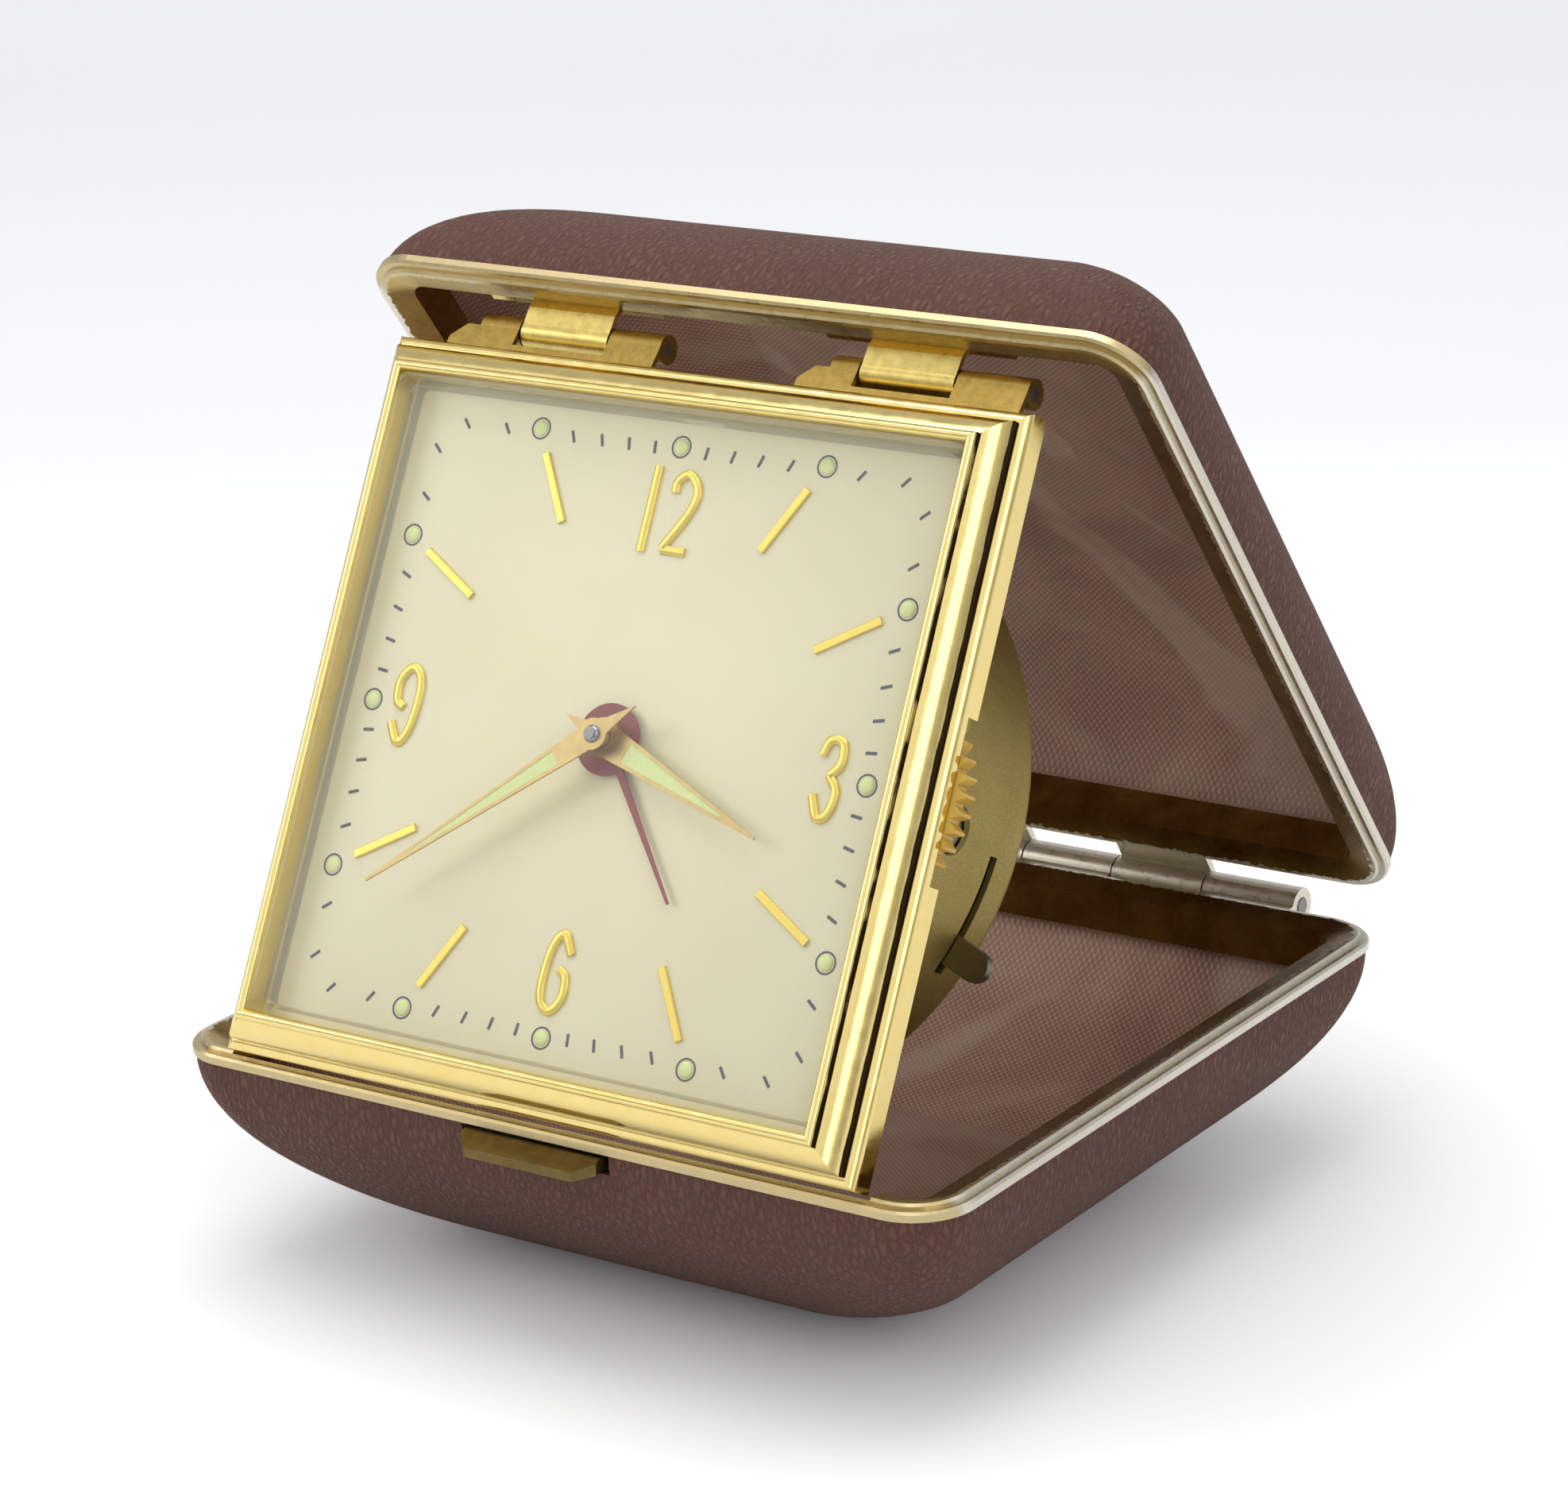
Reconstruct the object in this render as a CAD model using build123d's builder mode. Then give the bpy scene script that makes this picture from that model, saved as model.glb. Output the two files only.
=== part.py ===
from build123d import *
import math
import os

# Folding travel alarm clock, in millimetres, +Z up.
# The origin is the middle of the flat underside of the lower case half.
# The clock stands open: the lid leans back and the clock hangs from its front edge, foot on the base.

os.makedirs("parts", exist_ok=True)

overrun = 1.0
running_gap = 0.05
side_gap = 0.15

# Case halves
case_width = 76.0
case_depth = 73.2
half_height = 20.0
corner_radius = 5.2
corner_growth = 3.5
wall_band = 1.0
dome_inset = 18.1
dome_swell_share = 1.96
dome_round_share = 1.1
dome_step_shares = (0.0, 0.25, 0.5, 0.7, 0.85, 0.95, 1.0)
leather_setback = 0.3
leather_thickness = 0.7
shell_thickness = 0.45
lining_thickness = 0.4

# Brass rims
lip_height = 1.2
lip_width = 0.75
lip_drop = 0.4
lip_round = 0.2
ridge_width = 0.4
flange_width = 3.6
flange_drop = 0.75
skirt_depth = 3.4
rim_sheet = 0.5

# Rear hinge
rear_setback = 2.7
rear_drop = 1.0
rear_barrel_radius = 1.7
rear_pin_radius = 0.8
rear_hinge_margin = 10.0
knuckle_count = 6

# Clock case and the way it hangs
bezel_border = 3.4
case_side_room = 3.55
case_front_room = 2.5
bezel_depth = 5.8
hang_rise = 2.4
hang_depth = 8.0
pin_inset = 5.28
pin_drop = 1.53
seat_inset = 1.45
seat_drop = 0.2
seat_gap = 0.2
seat_side_gap = 0.6

# Clock hinge
clock_barrel_radius = 1.25
clock_pin_radius = 0.6
leaf_start = 7.0
leaf_margin = 2.85
leaf_sheet = 0.5
leaf_tail = 3.1
leaf_shoulder = 2.6
tab_width = 8.8
tab_offset = 0.7
tab_sheet = 0.5
tab_plate_width = 17.6
tab_gap = 0.2

# Front catch
notch_width = 14.5
notch_height = 1.8
catch_side_gap = 0.55
catch_top_gap = 0.3
catch_front_width = 10.4
catch_reach = 2.1
catch_slope_drop = 0.75
catch_edge = 0.8
catch_root = 1.1
catch_pin_radius = 0.35
catch_barrel_radius = 0.55
catch_pin_inset = 2.45
catch_pin_drop = 2.7
bracket_sheet = 0.35

# Bezel moulding
bezel_sheet = 0.55
lip_bead = 0.85
groove_depth = 0.8
band_width = 1.65
band_fall = 1.75
band_arc_shares = (0.62, 0.38)
outer_step = 0.6
outer_fall = 0.75
outer_arc_shares = (0.72, 0.28)
thumb_window_share = 0.72
frame_sheet = 0.55
frame_bore_margin = 0.2

# Crystal
crystal_gap = 0.15
crystal_wall = 0.8
crystal_rise = 2.4
crystal_edge = 0.3
crystal_inset_shares = (0.0, 0.012, 0.035, 0.075, 0.14, 0.24, 0.36, 0.52, 0.7)
crystal_rise_shares = (0.0, 0.17, 0.34, 0.48, 0.6, 0.72, 0.82, 0.93, 1.0)
crystal_corner = 0.6
crystal_corner_share = 0.95

# Dial furniture
dial_depth = 3.0
dial_thickness = 0.4
dial_margin = 0.5
index_height = 0.28
index_width = 0.65
index_length = 6.2
index_margin = 1.5
stroke_width = 0.72
numeral_height = 7.0
numeral_margin = 8.2
side_numeral_margin = 6.75
figure_half_width = 1.15
dot_margin = 2.9
dot_radius = 0.62
dot_height = 0.12
dial_foot_radius = 0.8
dial_foot_inset = 2.0
dial_foot_angles = (135.0, 315.0)

# Hands
hand_sheet = 0.22
minute_hand_depth = 0.1
minute_hand_margin = 3.4
minute_hand_tail = 4.4
minute_hand_width = 2.1
hour_hand_depth = 1.45
hour_hand_shortfall = 6.5
hour_hand_tail = 4.2
hour_hand_width = 2.6
alarm_hand_depth = 2.35
alarm_hand_shortfall = 2.2
alarm_hand_width = 0.75
alarm_disc_radius = 2.95
hand_rim = 0.3
lume_tip_half = 0.1
lume_inner_share = 0.16
lume_outer_share = 0.78
lume_fill_share = 0.8
hand_boss_share = 0.62
minute_hand_angle = 231.2
hour_hand_angle = 109.5
alarm_hand_angle = 142.5
pinion_tip_rise = 0.45

# Arbor and pipes at the middle of the dial
arbor_radius = 0.5
cannon_radius = 0.85
hour_pipe_radius = 1.2
alarm_pipe_radius = 1.55

# Toothed wheels
thumb_teeth = 42
alarm_teeth = 60
thumb_reach = 1.2
thumb_wheel_depth = 4.55
thumb_wheel_thickness = 1.55
thumb_post_radius = 1.6
alarm_wheel_depth = 5.1
alarm_wheel_thickness = 0.8
motion_module = 0.25
cannon_teeth = 12
minute_wheel_teeth = 36
minute_pinion_teeth = 10
hour_wheel_teeth = 40
hour_wheel_depth = 6.3
hour_wheel_thickness = 0.5
minute_wheel_depth = 7.0
minute_wheel_thickness = 0.5
minute_wheel_angle = 215.0
minute_post_radius = 0.5
barrel_teeth = 60
centre_pinion_teeth = 8
tooth_flank = 20.0
thumb_flank = 27.0
addendum_share = 0.85
dedendum_share = 1.15
backlash_share = 0.12

# Movement between its plates
drum_inset = 3.1
drum_depth = 23.3
drum_sheet = 0.5
drum_edge = 1.2
front_plate_depth = 8.0
plate_thickness = 1.1
back_plate_depth = 16.4
plate_gap = 0.1
pillar_radius = 1.2
pillar_inset = 2.0
pillar_angles = (20.0, 110.0, 200.0, 300.0)
spacer_radius = 1.0
spacer_inset = 1.1
spacer_angles = (50.0, 130.0, 230.0, 310.0)
centre_wheel_gap = 2.5
centre_wheel_depth = 9.7
wheel_sheet = 0.5
barrel_angle = 210.0
barrel_margin = 4.25
barrel_shoulder = 0.6
barrel_top_depth = 11.2
barrel_height = 3.8
alarm_barrel_margin = 1.7
balance_margin = 4.25
balance_rim = 0.8
balance_depth = 13.6
balance_sheet = 0.7
balance_staff_radius = 0.4
hammer_arm_width = 1.6
hammer_staff_radius = 0.6
hammer_boss_radius = 1.5
hammer_depth = 12.6
hammer_sheet = 0.9
hammer_rest_gap = 0.75
key_arbor_radius = 1.1
gong_sheet = 0.35
gong_gap = 0.15
gong_front = 6.6

# Places on the plates, as shares of the plates' radius
alarm_barrel_shares = (0.36, 0.51)
balance_shares = (-0.32, 0.51)
hammer_shares = (0.53, -0.42)
hammer_head_shares = (0.6, -0.675)

# Rear fittings
lever_depth = 18.5
lever_sheet = 0.8
lever_angle = -21.5
lever_width = 3.2
lever_tip_width = 2.6
lever_tip_reach = 3.9
lever_hub_radius = 5.2
lever_boss_radius = 3.0
slot_top_angle = -4.6
slot_bottom_angle = -26.2
slot_gap = 0.15
slot_cut_shares = (0.9, 1.2)
sight_hole_radius = 2.1
sight_hole_angle = -2.6
sight_hole_depth = 12.0
key_boss_radius = 2.7
key_boss_height = 1.1
key_clearance = 0.3
key_span = 11.0
key_wing_height = 1.8
key_wing_sheet = 1.1
key_bore_share = 0.8
going_key_angle = 35.0
alarm_key_angle = -20.0
set_knob_radius = 3.3
set_knob_height = 2.4
set_knob_flutes = 16
flute_radius = 0.35
regulator_overhang = 2.2
regulator_width = 1.3
regulator_sheet = 0.4
regulator_depth = 17.9
regulator_tip_rise = 0.7
regulator_travel = 18.0
regulator_angle = 150.0
regulator_ease = 6.0
cover_screw_radius = 1.7
cover_screw_height = 0.7
cover_screw_slot = 0.4
cover_post_radius = 1.3
cover_post_inset = 5.8
cover_post_angles = (25.0, 95.0, 165.0, 265.0)
cover_screw_shank = 0.6
cover_screw_reach = 2.0


# Sizes that follow from the case: the clock's openings, then the dial, the drum and the movement
def length_of(vector):
    return math.hypot(vector[0], vector[1])


def on_plate(shares):
    return (plate_radius * shares[0], plate_radius * shares[1])


rear_hinge_length = case_width - 2 * rear_hinge_margin
catch_width = notch_width - 2 * catch_side_gap
opening_width = case_width - 2 * (flange_width + case_side_room + bezel_border)
opening_height = case_depth - 2 * (flange_width + case_front_room + bezel_border)
bezel_half_width = opening_width / 2 + bezel_border
bezel_half_height = opening_height / 2 + bezel_border
leaf_length = bezel_half_width - leaf_start - leaf_margin
tab_centre = leaf_start + leaf_length / 2 - tab_offset

dial_half = min(opening_width, opening_height) / 2
dot_track = dial_half - dot_margin
index_outer = dial_half - index_margin
index_inner = index_outer - index_length
numeral_radius = opening_height / 2 - numeral_margin
side_numeral_radius = opening_width / 2 - side_numeral_margin
minute_hand_length = dial_half - minute_hand_margin
hour_hand_length = minute_hand_length - hour_hand_shortfall
alarm_hand_length = hour_hand_length - alarm_hand_shortfall

drum_radius = dial_half + bezel_border - drum_inset
lever_reach = drum_radius + lever_tip_reach
gong_radius = drum_radius - drum_sheet - gong_gap
plate_radius = gong_radius - gong_sheet - plate_gap
pillar_circle = plate_radius - pillar_inset
spacer_circle = plate_radius - spacer_inset
cover_post_circle = plate_radius - cover_post_inset
frame_bore = spacer_circle - spacer_radius - frame_bore_margin
dial_foot_circle = frame_bore - dial_foot_radius - dial_foot_inset

thumb_module = (bezel_half_width + thumb_reach) / (alarm_teeth / 2 + thumb_teeth + addendum_share)
barrel_span = (centre_pinion_teeth + barrel_teeth) / 2
barrel_module = (plate_radius - barrel_margin) / (barrel_span + barrel_teeth / 2 + addendum_share)
barrel_distance = barrel_module * barrel_span
barrel_drum_radius = barrel_module * (barrel_teeth / 2 - dedendum_share) - barrel_shoulder
centre_wheel_radius = barrel_distance - key_arbor_radius - centre_wheel_gap
alarm_barrel_centre = on_plate(alarm_barrel_shares)
alarm_barrel_radius = plate_radius - length_of(alarm_barrel_centre) - alarm_barrel_margin
balance_centre = on_plate(balance_shares)
balance_radius = plate_radius - length_of(balance_centre) - balance_margin
regulator_reach = balance_radius + regulator_overhang
hammer_centre = on_plate(hammer_shares)
hammer_head_centre = on_plate(hammer_head_shares)
hammer_head_radius = gong_radius - gong_sheet - length_of(hammer_head_centre) - hammer_rest_gap
hammer_way = (hammer_head_centre[0] - hammer_centre[0], hammer_head_centre[1] - hammer_centre[1])
hammer_reach = length_of(hammer_way)
hammer_angle = math.degrees(math.atan2(hammer_way[1], hammer_way[0]))

# The linkage: base, lid and clock make a triangle, which sets how far the case stands open
hang_height = bezel_half_height + hang_rise
rear_y = case_depth / 2 + rear_setback
rear_z = half_height - rear_drop
foot_y = -case_depth / 2 + seat_inset
foot_z = half_height - seat_drop
base_span = (rear_y - foot_y, foot_z - rear_z)
lid_arm = (rear_y + case_depth / 2 - pin_inset, half_height - pin_drop - rear_z)
clock_arm = (hang_height + bezel_half_height, hang_depth - bezel_depth)
cosine = (length_of(base_span) ** 2 + length_of(lid_arm) ** 2 - length_of(clock_arm) ** 2) / (
    2 * length_of(base_span) * length_of(lid_arm)
)
pin_bearing = math.atan2(base_span[1], base_span[0]) + math.acos(cosine)
lid_opening = pin_bearing - math.atan2(lid_arm[1], lid_arm[0])
pin_y = rear_y - length_of(lid_arm) * math.cos(pin_bearing)
pin_z = rear_z + length_of(lid_arm) * math.sin(pin_bearing)
dial_lean = math.atan2(pin_z - foot_z, pin_y - foot_y) + math.atan2(clock_arm[1], clock_arm[0])

up_way = Vector(0, math.cos(dial_lean), math.sin(dial_lean))
front_way = Vector(0, -math.sin(dial_lean), math.cos(dial_lean))
dial_centre = Vector(0, pin_y, pin_z) - up_way * hang_height + front_way * hang_depth
clock_frame = Plane(origin=dial_centre, x_dir=(1, 0, 0), z_dir=front_way)
clock_side = Plane(origin=dial_centre, x_dir=up_way, z_dir=(1, 0, 0))

lid_rear_way = Vector(0, math.cos(lid_opening), -math.sin(lid_opening))
lid_dome_way = Vector(0, math.sin(lid_opening), math.cos(lid_opening))
lid_centre = Vector(0, rear_y, rear_z) - lid_rear_way * rear_y + lid_dome_way * rear_drop
lid_frame = Plane(origin=lid_centre, x_dir=(1, 0, 0), z_dir=lid_dome_way)
lid_side = Plane(origin=lid_centre, x_dir=lid_rear_way, z_dir=(1, 0, 0))

base_frame = Plane(origin=(0, 0, half_height), x_dir=(1, 0, 0), z_dir=(0, 0, -1))
base_side = Plane(origin=(0, 0, half_height), x_dir=(0, 1, 0), z_dir=(1, 0, 0))


def layer(depth):
    """A plane parallel to the dial, depth behind the bezel's front lip."""
    return clock_frame.offset(-depth)


def placed(points, place, angle):
    """The same points turned about the origin and then moved."""
    turn_cos = math.cos(math.radians(angle))
    turn_sin = math.sin(math.radians(angle))
    moved = []
    for x, y in points:
        moved.append((place[0] + x * turn_cos - y * turn_sin, place[1] + x * turn_sin + y * turn_cos))
    return moved


def finish(part, name):
    part.label = name
    export_step(part, f"parts/{name}.step")


# Case shells
dome_drop = half_height - lip_height - wall_band


def dome_sections(frame, skin):
    """Outlines from the mouth down to the flat of the surface that lies skin inside the leather."""
    stations = [(lip_height, 0.0, 0.0)]
    for share in dome_step_shares:
        rest = 1 - share ** dome_swell_share
        inset = dome_inset * (1 - rest ** (1 / dome_round_share))
        depth = lip_height + wall_band + dome_drop * share
        if share == 1:
            stations.append((depth - skin, inset, 1.0))
            continue
        rise = dome_swell_share * share ** (dome_swell_share - 1) if share else 0.0
        slope = dome_inset / dome_drop * rise * rest ** (1 / dome_round_share - 1) / dome_round_share
        root = math.hypot(1, slope)
        stations.append((depth - skin * slope / root, inset + skin / root, share))
    if skin:
        stations[0] = (lip_height - overrun, skin, 0.0)
    outlines = []
    for depth, inset, share in stations:
        setback = leather_setback + inset
        radius = corner_radius - leather_setback - skin + corner_growth * share
        with BuildSketch(frame.offset(depth)) as outline:
            RectangleRounded(case_width - 2 * setback, case_depth - 2 * setback, radius)
        outlines.append(outline.sketch)
    return outlines


def case_skin(frame, outside, inside):
    """One layer of a case half, between two depths under the leather's face."""
    with BuildPart() as skin:
        loft(dome_sections(frame, outside))
        if outside:
            split(bisect_by=frame.offset(lip_height), keep=Keep.TOP)
        loft(dome_sections(frame, inside), mode=Mode.SUBTRACT)
    return skin.part


shell_face = leather_thickness
lining_face = shell_face + shell_thickness
lining_back = lining_face + lining_thickness
skins = {
    "leather": (0.0, shell_face),
    "shell": (shell_face, lining_face),
    "lining": (lining_face, lining_back),
}

for skin_name, (outside, inside) in skins.items():
    with BuildPart() as base_skin:
        add(case_skin(base_frame, outside, inside))
        with BuildSketch(base_side) as catch_notch:
            with Locations((-case_depth / 2, -lip_height - notch_height / 2)):
                Rectangle(2 * (lining_back + leather_setback + overrun), notch_height)
        extrude(amount=notch_width / 2, both=True, mode=Mode.SUBTRACT)
    finish(base_skin.part, f"base_{skin_name}")
    with BuildPart() as lid_skin:
        add(case_skin(lid_frame, outside, inside))
    finish(lid_skin.part, f"lid_{skin_name}")


# Brass rims with their hinge knuckles
def rim_ring(frame):
    """Rolled lip, sloping flange and inner skirt, carried round the mouth in one closed sweep."""
    half_width = case_width / 2
    half_depth = case_depth / 2
    section_plane = Plane(
        origin=frame.from_local_coords((half_width, 0, 0)), x_dir=-frame.x_dir, z_dir=frame.y_dir
    )
    ridge = lip_width + lip_round
    skirt_end = flange_drop + skirt_depth
    arc_x = half_width - corner_radius
    arc_y = half_depth - corner_radius
    with BuildPart() as ring:
        with BuildLine(frame) as outline:
            Line((half_width, 0), (half_width, arc_y))
            CenterArc((arc_x, arc_y), corner_radius, 0, 90)
            Line((arc_x, half_depth), (-arc_x, half_depth))
            CenterArc((-arc_x, arc_y), corner_radius, 90, 90)
            Line((-half_width, arc_y), (-half_width, -arc_y))
            CenterArc((-arc_x, -arc_y), corner_radius, 180, 90)
            Line((-arc_x, -half_depth), (arc_x, -half_depth))
            CenterArc((arc_x, -arc_y), corner_radius, 270, 90)
            Line((half_width, -arc_y), (half_width, 0))
        with BuildSketch(section_plane):
            with BuildLine():
                Polyline(
                    (0, lip_height),
                    (0, lip_drop + lip_round),
                    (lip_round, lip_drop),
                    (lip_width, lip_drop),
                    (lip_width, lip_round),
                    (ridge, 0),
                    (ridge + ridge_width, 0),
                    (flange_width, flange_drop),
                    (flange_width, skirt_end),
                    (flange_width - rim_sheet, skirt_end),
                    (flange_width - rim_sheet, lip_height),
                    close=True,
                )
            make_face()
        sweep(path=outline.wire())
    return ring.part


knuckle_pitch = rear_hinge_length / knuckle_count
axis_up = half_height - rear_z


def knuckle_starts(first):
    """Left ends of every other knuckle along the rear hinge."""
    return [-rear_hinge_length / 2 + knuckle_pitch * count for count in range(first, knuckle_count, 2)]


def rear_knuckles(side, first, leaf_points):
    """Rolled knuckles with their leaves, bored for the pin."""
    length = knuckle_pitch - side_gap
    with BuildPart() as knuckles:
        for start in knuckle_starts(first):
            with BuildSketch(side.offset(start + side_gap / 2)):
                with Locations((rear_y, -axis_up)):
                    Circle(rear_barrel_radius)
                with BuildLine():
                    Polyline(*leaf_points, close=True)
                make_face()
                with Locations((rear_y, -axis_up)):
                    Circle(rear_pin_radius + running_gap, mode=Mode.SUBTRACT)
            extrude(amount=length)
    return knuckles.part


rim_rear = case_depth / 2
base_leaf = (
    (rim_rear - lip_width / 2, -lip_height / 2),
    (rear_y, -lip_height / 2 + rim_sheet / 2),
    (rear_y, -lip_height),
    (rim_rear - lip_width / 2, -lip_height),
)
lid_leaf = (
    (rim_rear - lip_width / 2, lip_height),
    (rear_y, rear_barrel_radius - axis_up),
    (rear_y, rear_barrel_radius - axis_up - rim_sheet),
    (rim_rear - lip_width / 2, lip_height - 1.5 * rim_sheet),
)

swing_radius = math.hypot(clock_arm[0], hang_depth - groove_depth - band_fall - outer_step) + seat_gap
seat_half = bezel_half_width + seat_side_gap
seat_width = flange_width - lip_width
seat_inner = notch_width / 2 + seat_side_gap
with BuildPart() as base_rim:
    add(rim_ring(base_frame))
    # A shallow seat in the front flange follows the swing of the clock's foot.
    with BuildSketch(Plane.YZ) as swing_disc:
        with Locations((pin_y, pin_z)):
            Circle(swing_radius)
    extrude(amount=seat_half, both=True, mode=Mode.SUBTRACT)
    with BuildSketch(Plane.YZ) as seat_wall:
        with Locations((pin_y, pin_z)):
            Circle(swing_radius + rim_sheet)
            Circle(swing_radius, mode=Mode.SUBTRACT)
        with Locations((-case_depth / 2 + flange_width - seat_width / 2, half_height)):
            Rectangle(seat_width, 2 * lip_height, mode=Mode.INTERSECT)
    extrude(amount=seat_half, both=True)
    # Its lower part lies behind the case's layers, and is left out above the catch.
    low_width = flange_width - lining_back - leather_setback - side_gap
    for way in (-1, 1):
        with BuildSketch(Plane.YZ.offset(way * (seat_half + seat_inner) / 2)) as low_wall:
            with Locations((pin_y, pin_z)):
                Circle(swing_radius + rim_sheet)
                Circle(swing_radius, mode=Mode.SUBTRACT)
            with Locations((-case_depth / 2 + flange_width - low_width / 2, half_height)):
                Rectangle(low_width, 2 * (flange_drop + skirt_depth), mode=Mode.INTERSECT)
        extrude(amount=(seat_half - seat_inner) / 2, both=True)
    add(rear_knuckles(base_side, 1, base_leaf))
finish(base_rim.part, "base_rim")

with BuildPart() as lid_rim:
    add(rim_ring(lid_frame))
    add(rear_knuckles(lid_side, 0, lid_leaf))
finish(lid_rim.part, "lid_rim")

with BuildPart() as rear_hinge_pin:
    with BuildSketch(Plane.YZ.offset(-rear_hinge_length / 2)):
        with Locations((rear_y, rear_z)):
            Circle(rear_pin_radius)
    extrude(amount=rear_hinge_length)
finish(rear_hinge_pin.part, "rear_hinge_pin")

# Front catch
catch_y = -case_depth / 2 + catch_pin_inset
catch_top = -lip_height - catch_top_gap
front_y = -case_depth / 2 - catch_reach
with BuildPart() as catch_lever:
    with BuildSketch(base_side) as tab_profile:
        with BuildLine():
            Polyline(
                (catch_y, catch_top),
                (-case_depth / 2, catch_top),
                (front_y, catch_top - catch_slope_drop),
                (front_y, catch_top - catch_slope_drop - catch_edge),
                (-case_depth / 2, catch_top - catch_root),
                (catch_y, catch_top - catch_root),
                close=True,
            )
        make_face()
    extrude(amount=catch_width / 2, both=True)
    corner_cut = (catch_width - catch_front_width) / 2
    tab_corners = catch_lever.edges().filter_by(Axis.Z).group_by(Axis.Y)[0]
    chamfer(tab_corners, length=corner_cut - side_gap / 2)
    with BuildSketch(base_side) as barrel_profile:
        with Locations((catch_y, -catch_pin_drop)):
            Circle(catch_barrel_radius)
    extrude(amount=catch_width / 2, both=True)
    with BuildSketch(base_side) as pin_bore:
        with Locations((catch_y, -catch_pin_drop)):
            Circle(catch_pin_radius + running_gap)
    extrude(amount=catch_width, both=True, mode=Mode.SUBTRACT)
finish(catch_lever.part, "catch_lever")

skirt_face = -case_depth / 2 + flange_width - rim_sheet
bracket_half = catch_width / 2 + side_gap + bracket_sheet
with BuildPart() as catch_bracket:
    for way in (-1, 1):
        with BuildSketch(base_side.offset(way * (bracket_half - bracket_sheet / 2))) as ear:
            with Locations((catch_y, -catch_pin_drop)):
                Circle(catch_barrel_radius)
            with Locations(((catch_y + skirt_face) / 2, -catch_pin_drop)):
                Rectangle(skirt_face - catch_y, 2 * catch_barrel_radius)
            with Locations((catch_y, -catch_pin_drop)):
                Circle(catch_pin_radius, mode=Mode.SUBTRACT)
        extrude(amount=bracket_sheet / 2, both=True)
finish(catch_bracket.part, "catch_bracket")

with BuildPart() as catch_pin:
    with BuildSketch(base_side):
        with Locations((catch_y, -catch_pin_drop)):
            Circle(catch_pin_radius)
    extrude(amount=bracket_half, both=True)
finish(catch_pin.part, "catch_pin")

# Clock hinge: tabs on the lid, leaves on the clock
tab_face = -case_depth / 2 + flange_width
hang_y = -case_depth / 2 + pin_inset
plate_end = flange_drop + skirt_depth
with BuildPart() as lid_tabs:
    for way in (-1, 1):
        with BuildSketch(lid_side.offset(way * tab_centre)) as tab_profile:
            with BuildLine():
                Polyline(
                    (tab_face, plate_end),
                    (tab_face, 0),
                    (hang_y - clock_barrel_radius, -pin_drop),
                    (hang_y - clock_barrel_radius + tab_sheet, -pin_drop),
                    (tab_face + tab_sheet, 0),
                    (tab_face + tab_sheet, plate_end),
                    close=True,
                )
            make_face()
            with Locations((hang_y, -pin_drop)):
                Circle(clock_barrel_radius)
                Circle(clock_pin_radius + running_gap, mode=Mode.SUBTRACT)
        extrude(amount=tab_width / 2, both=True)
        with BuildSketch(lid_side.offset(way * tab_centre)) as plate_profile:
            with Locations((tab_face + tab_sheet / 2, (plate_end + flange_drop) / 2)):
                Rectangle(tab_sheet, plate_end - flange_drop)
        extrude(amount=tab_plate_width / 2, both=True)
finish(lid_tabs.part, "lid_tabs")

frame_top = bezel_half_height - bezel_sheet
barrel_nose = clock_barrel_radius - hang_depth
with BuildPart() as clock_leaves:
    for start in (-leaf_start - leaf_length, leaf_start):
        with BuildSketch(clock_side.offset(start)) as leaf_profile:
            with BuildLine():
                Polyline(
                    (frame_top - leaf_tail, -bezel_depth),
                    (frame_top, -bezel_depth),
                    (hang_height, barrel_nose),
                    (hang_height, barrel_nose - leaf_sheet),
                    (frame_top, -bezel_depth - leaf_sheet),
                    (frame_top - leaf_tail, -bezel_depth - leaf_sheet),
                    close=True,
                )
            make_face()
        extrude(amount=leaf_length)
        with BuildSketch(clock_side.offset(start + leaf_shoulder)) as barrel_profile:
            with Locations((hang_height, -hang_depth)):
                Circle(clock_barrel_radius)
        extrude(amount=leaf_length - leaf_shoulder)
        with BuildSketch(clock_side.offset(start)) as bore_profile:
            with Locations((hang_height, -hang_depth)):
                Circle(clock_pin_radius)
        extrude(amount=leaf_length, mode=Mode.SUBTRACT)
        # The shoulder at the leaf's left end, and the window that the lid's tab turns in
        with BuildSketch(layer(hang_depth + clock_barrel_radius)) as shoulder:
            with BuildLine():
                Polyline(
                    (start - overrun, hang_height - clock_barrel_radius),
                    (start, hang_height - clock_barrel_radius),
                    (start + leaf_shoulder, hang_height + clock_barrel_radius),
                    (start - overrun, hang_height + clock_barrel_radius),
                    close=True,
                )
            make_face()
            with Locations((math.copysign(tab_centre, start + leaf_start), hang_height)):
                Rectangle(tab_width + 2 * tab_gap, 2 * (clock_barrel_radius + tab_gap))
        extrude(amount=2 * clock_barrel_radius + leaf_sheet, mode=Mode.SUBTRACT)
finish(clock_leaves.part, "clock_leaves")

with BuildPart() as clock_hinge_pins:
    for start in (-leaf_start - leaf_length, leaf_start):
        with BuildSketch(clock_side.offset(start + leaf_shoulder)):
            with Locations((hang_height, -hang_depth)):
                Circle(clock_pin_radius)
        extrude(amount=leaf_length - leaf_shoulder)
finish(clock_hinge_pins.part, "clock_hinge_pins")


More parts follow.
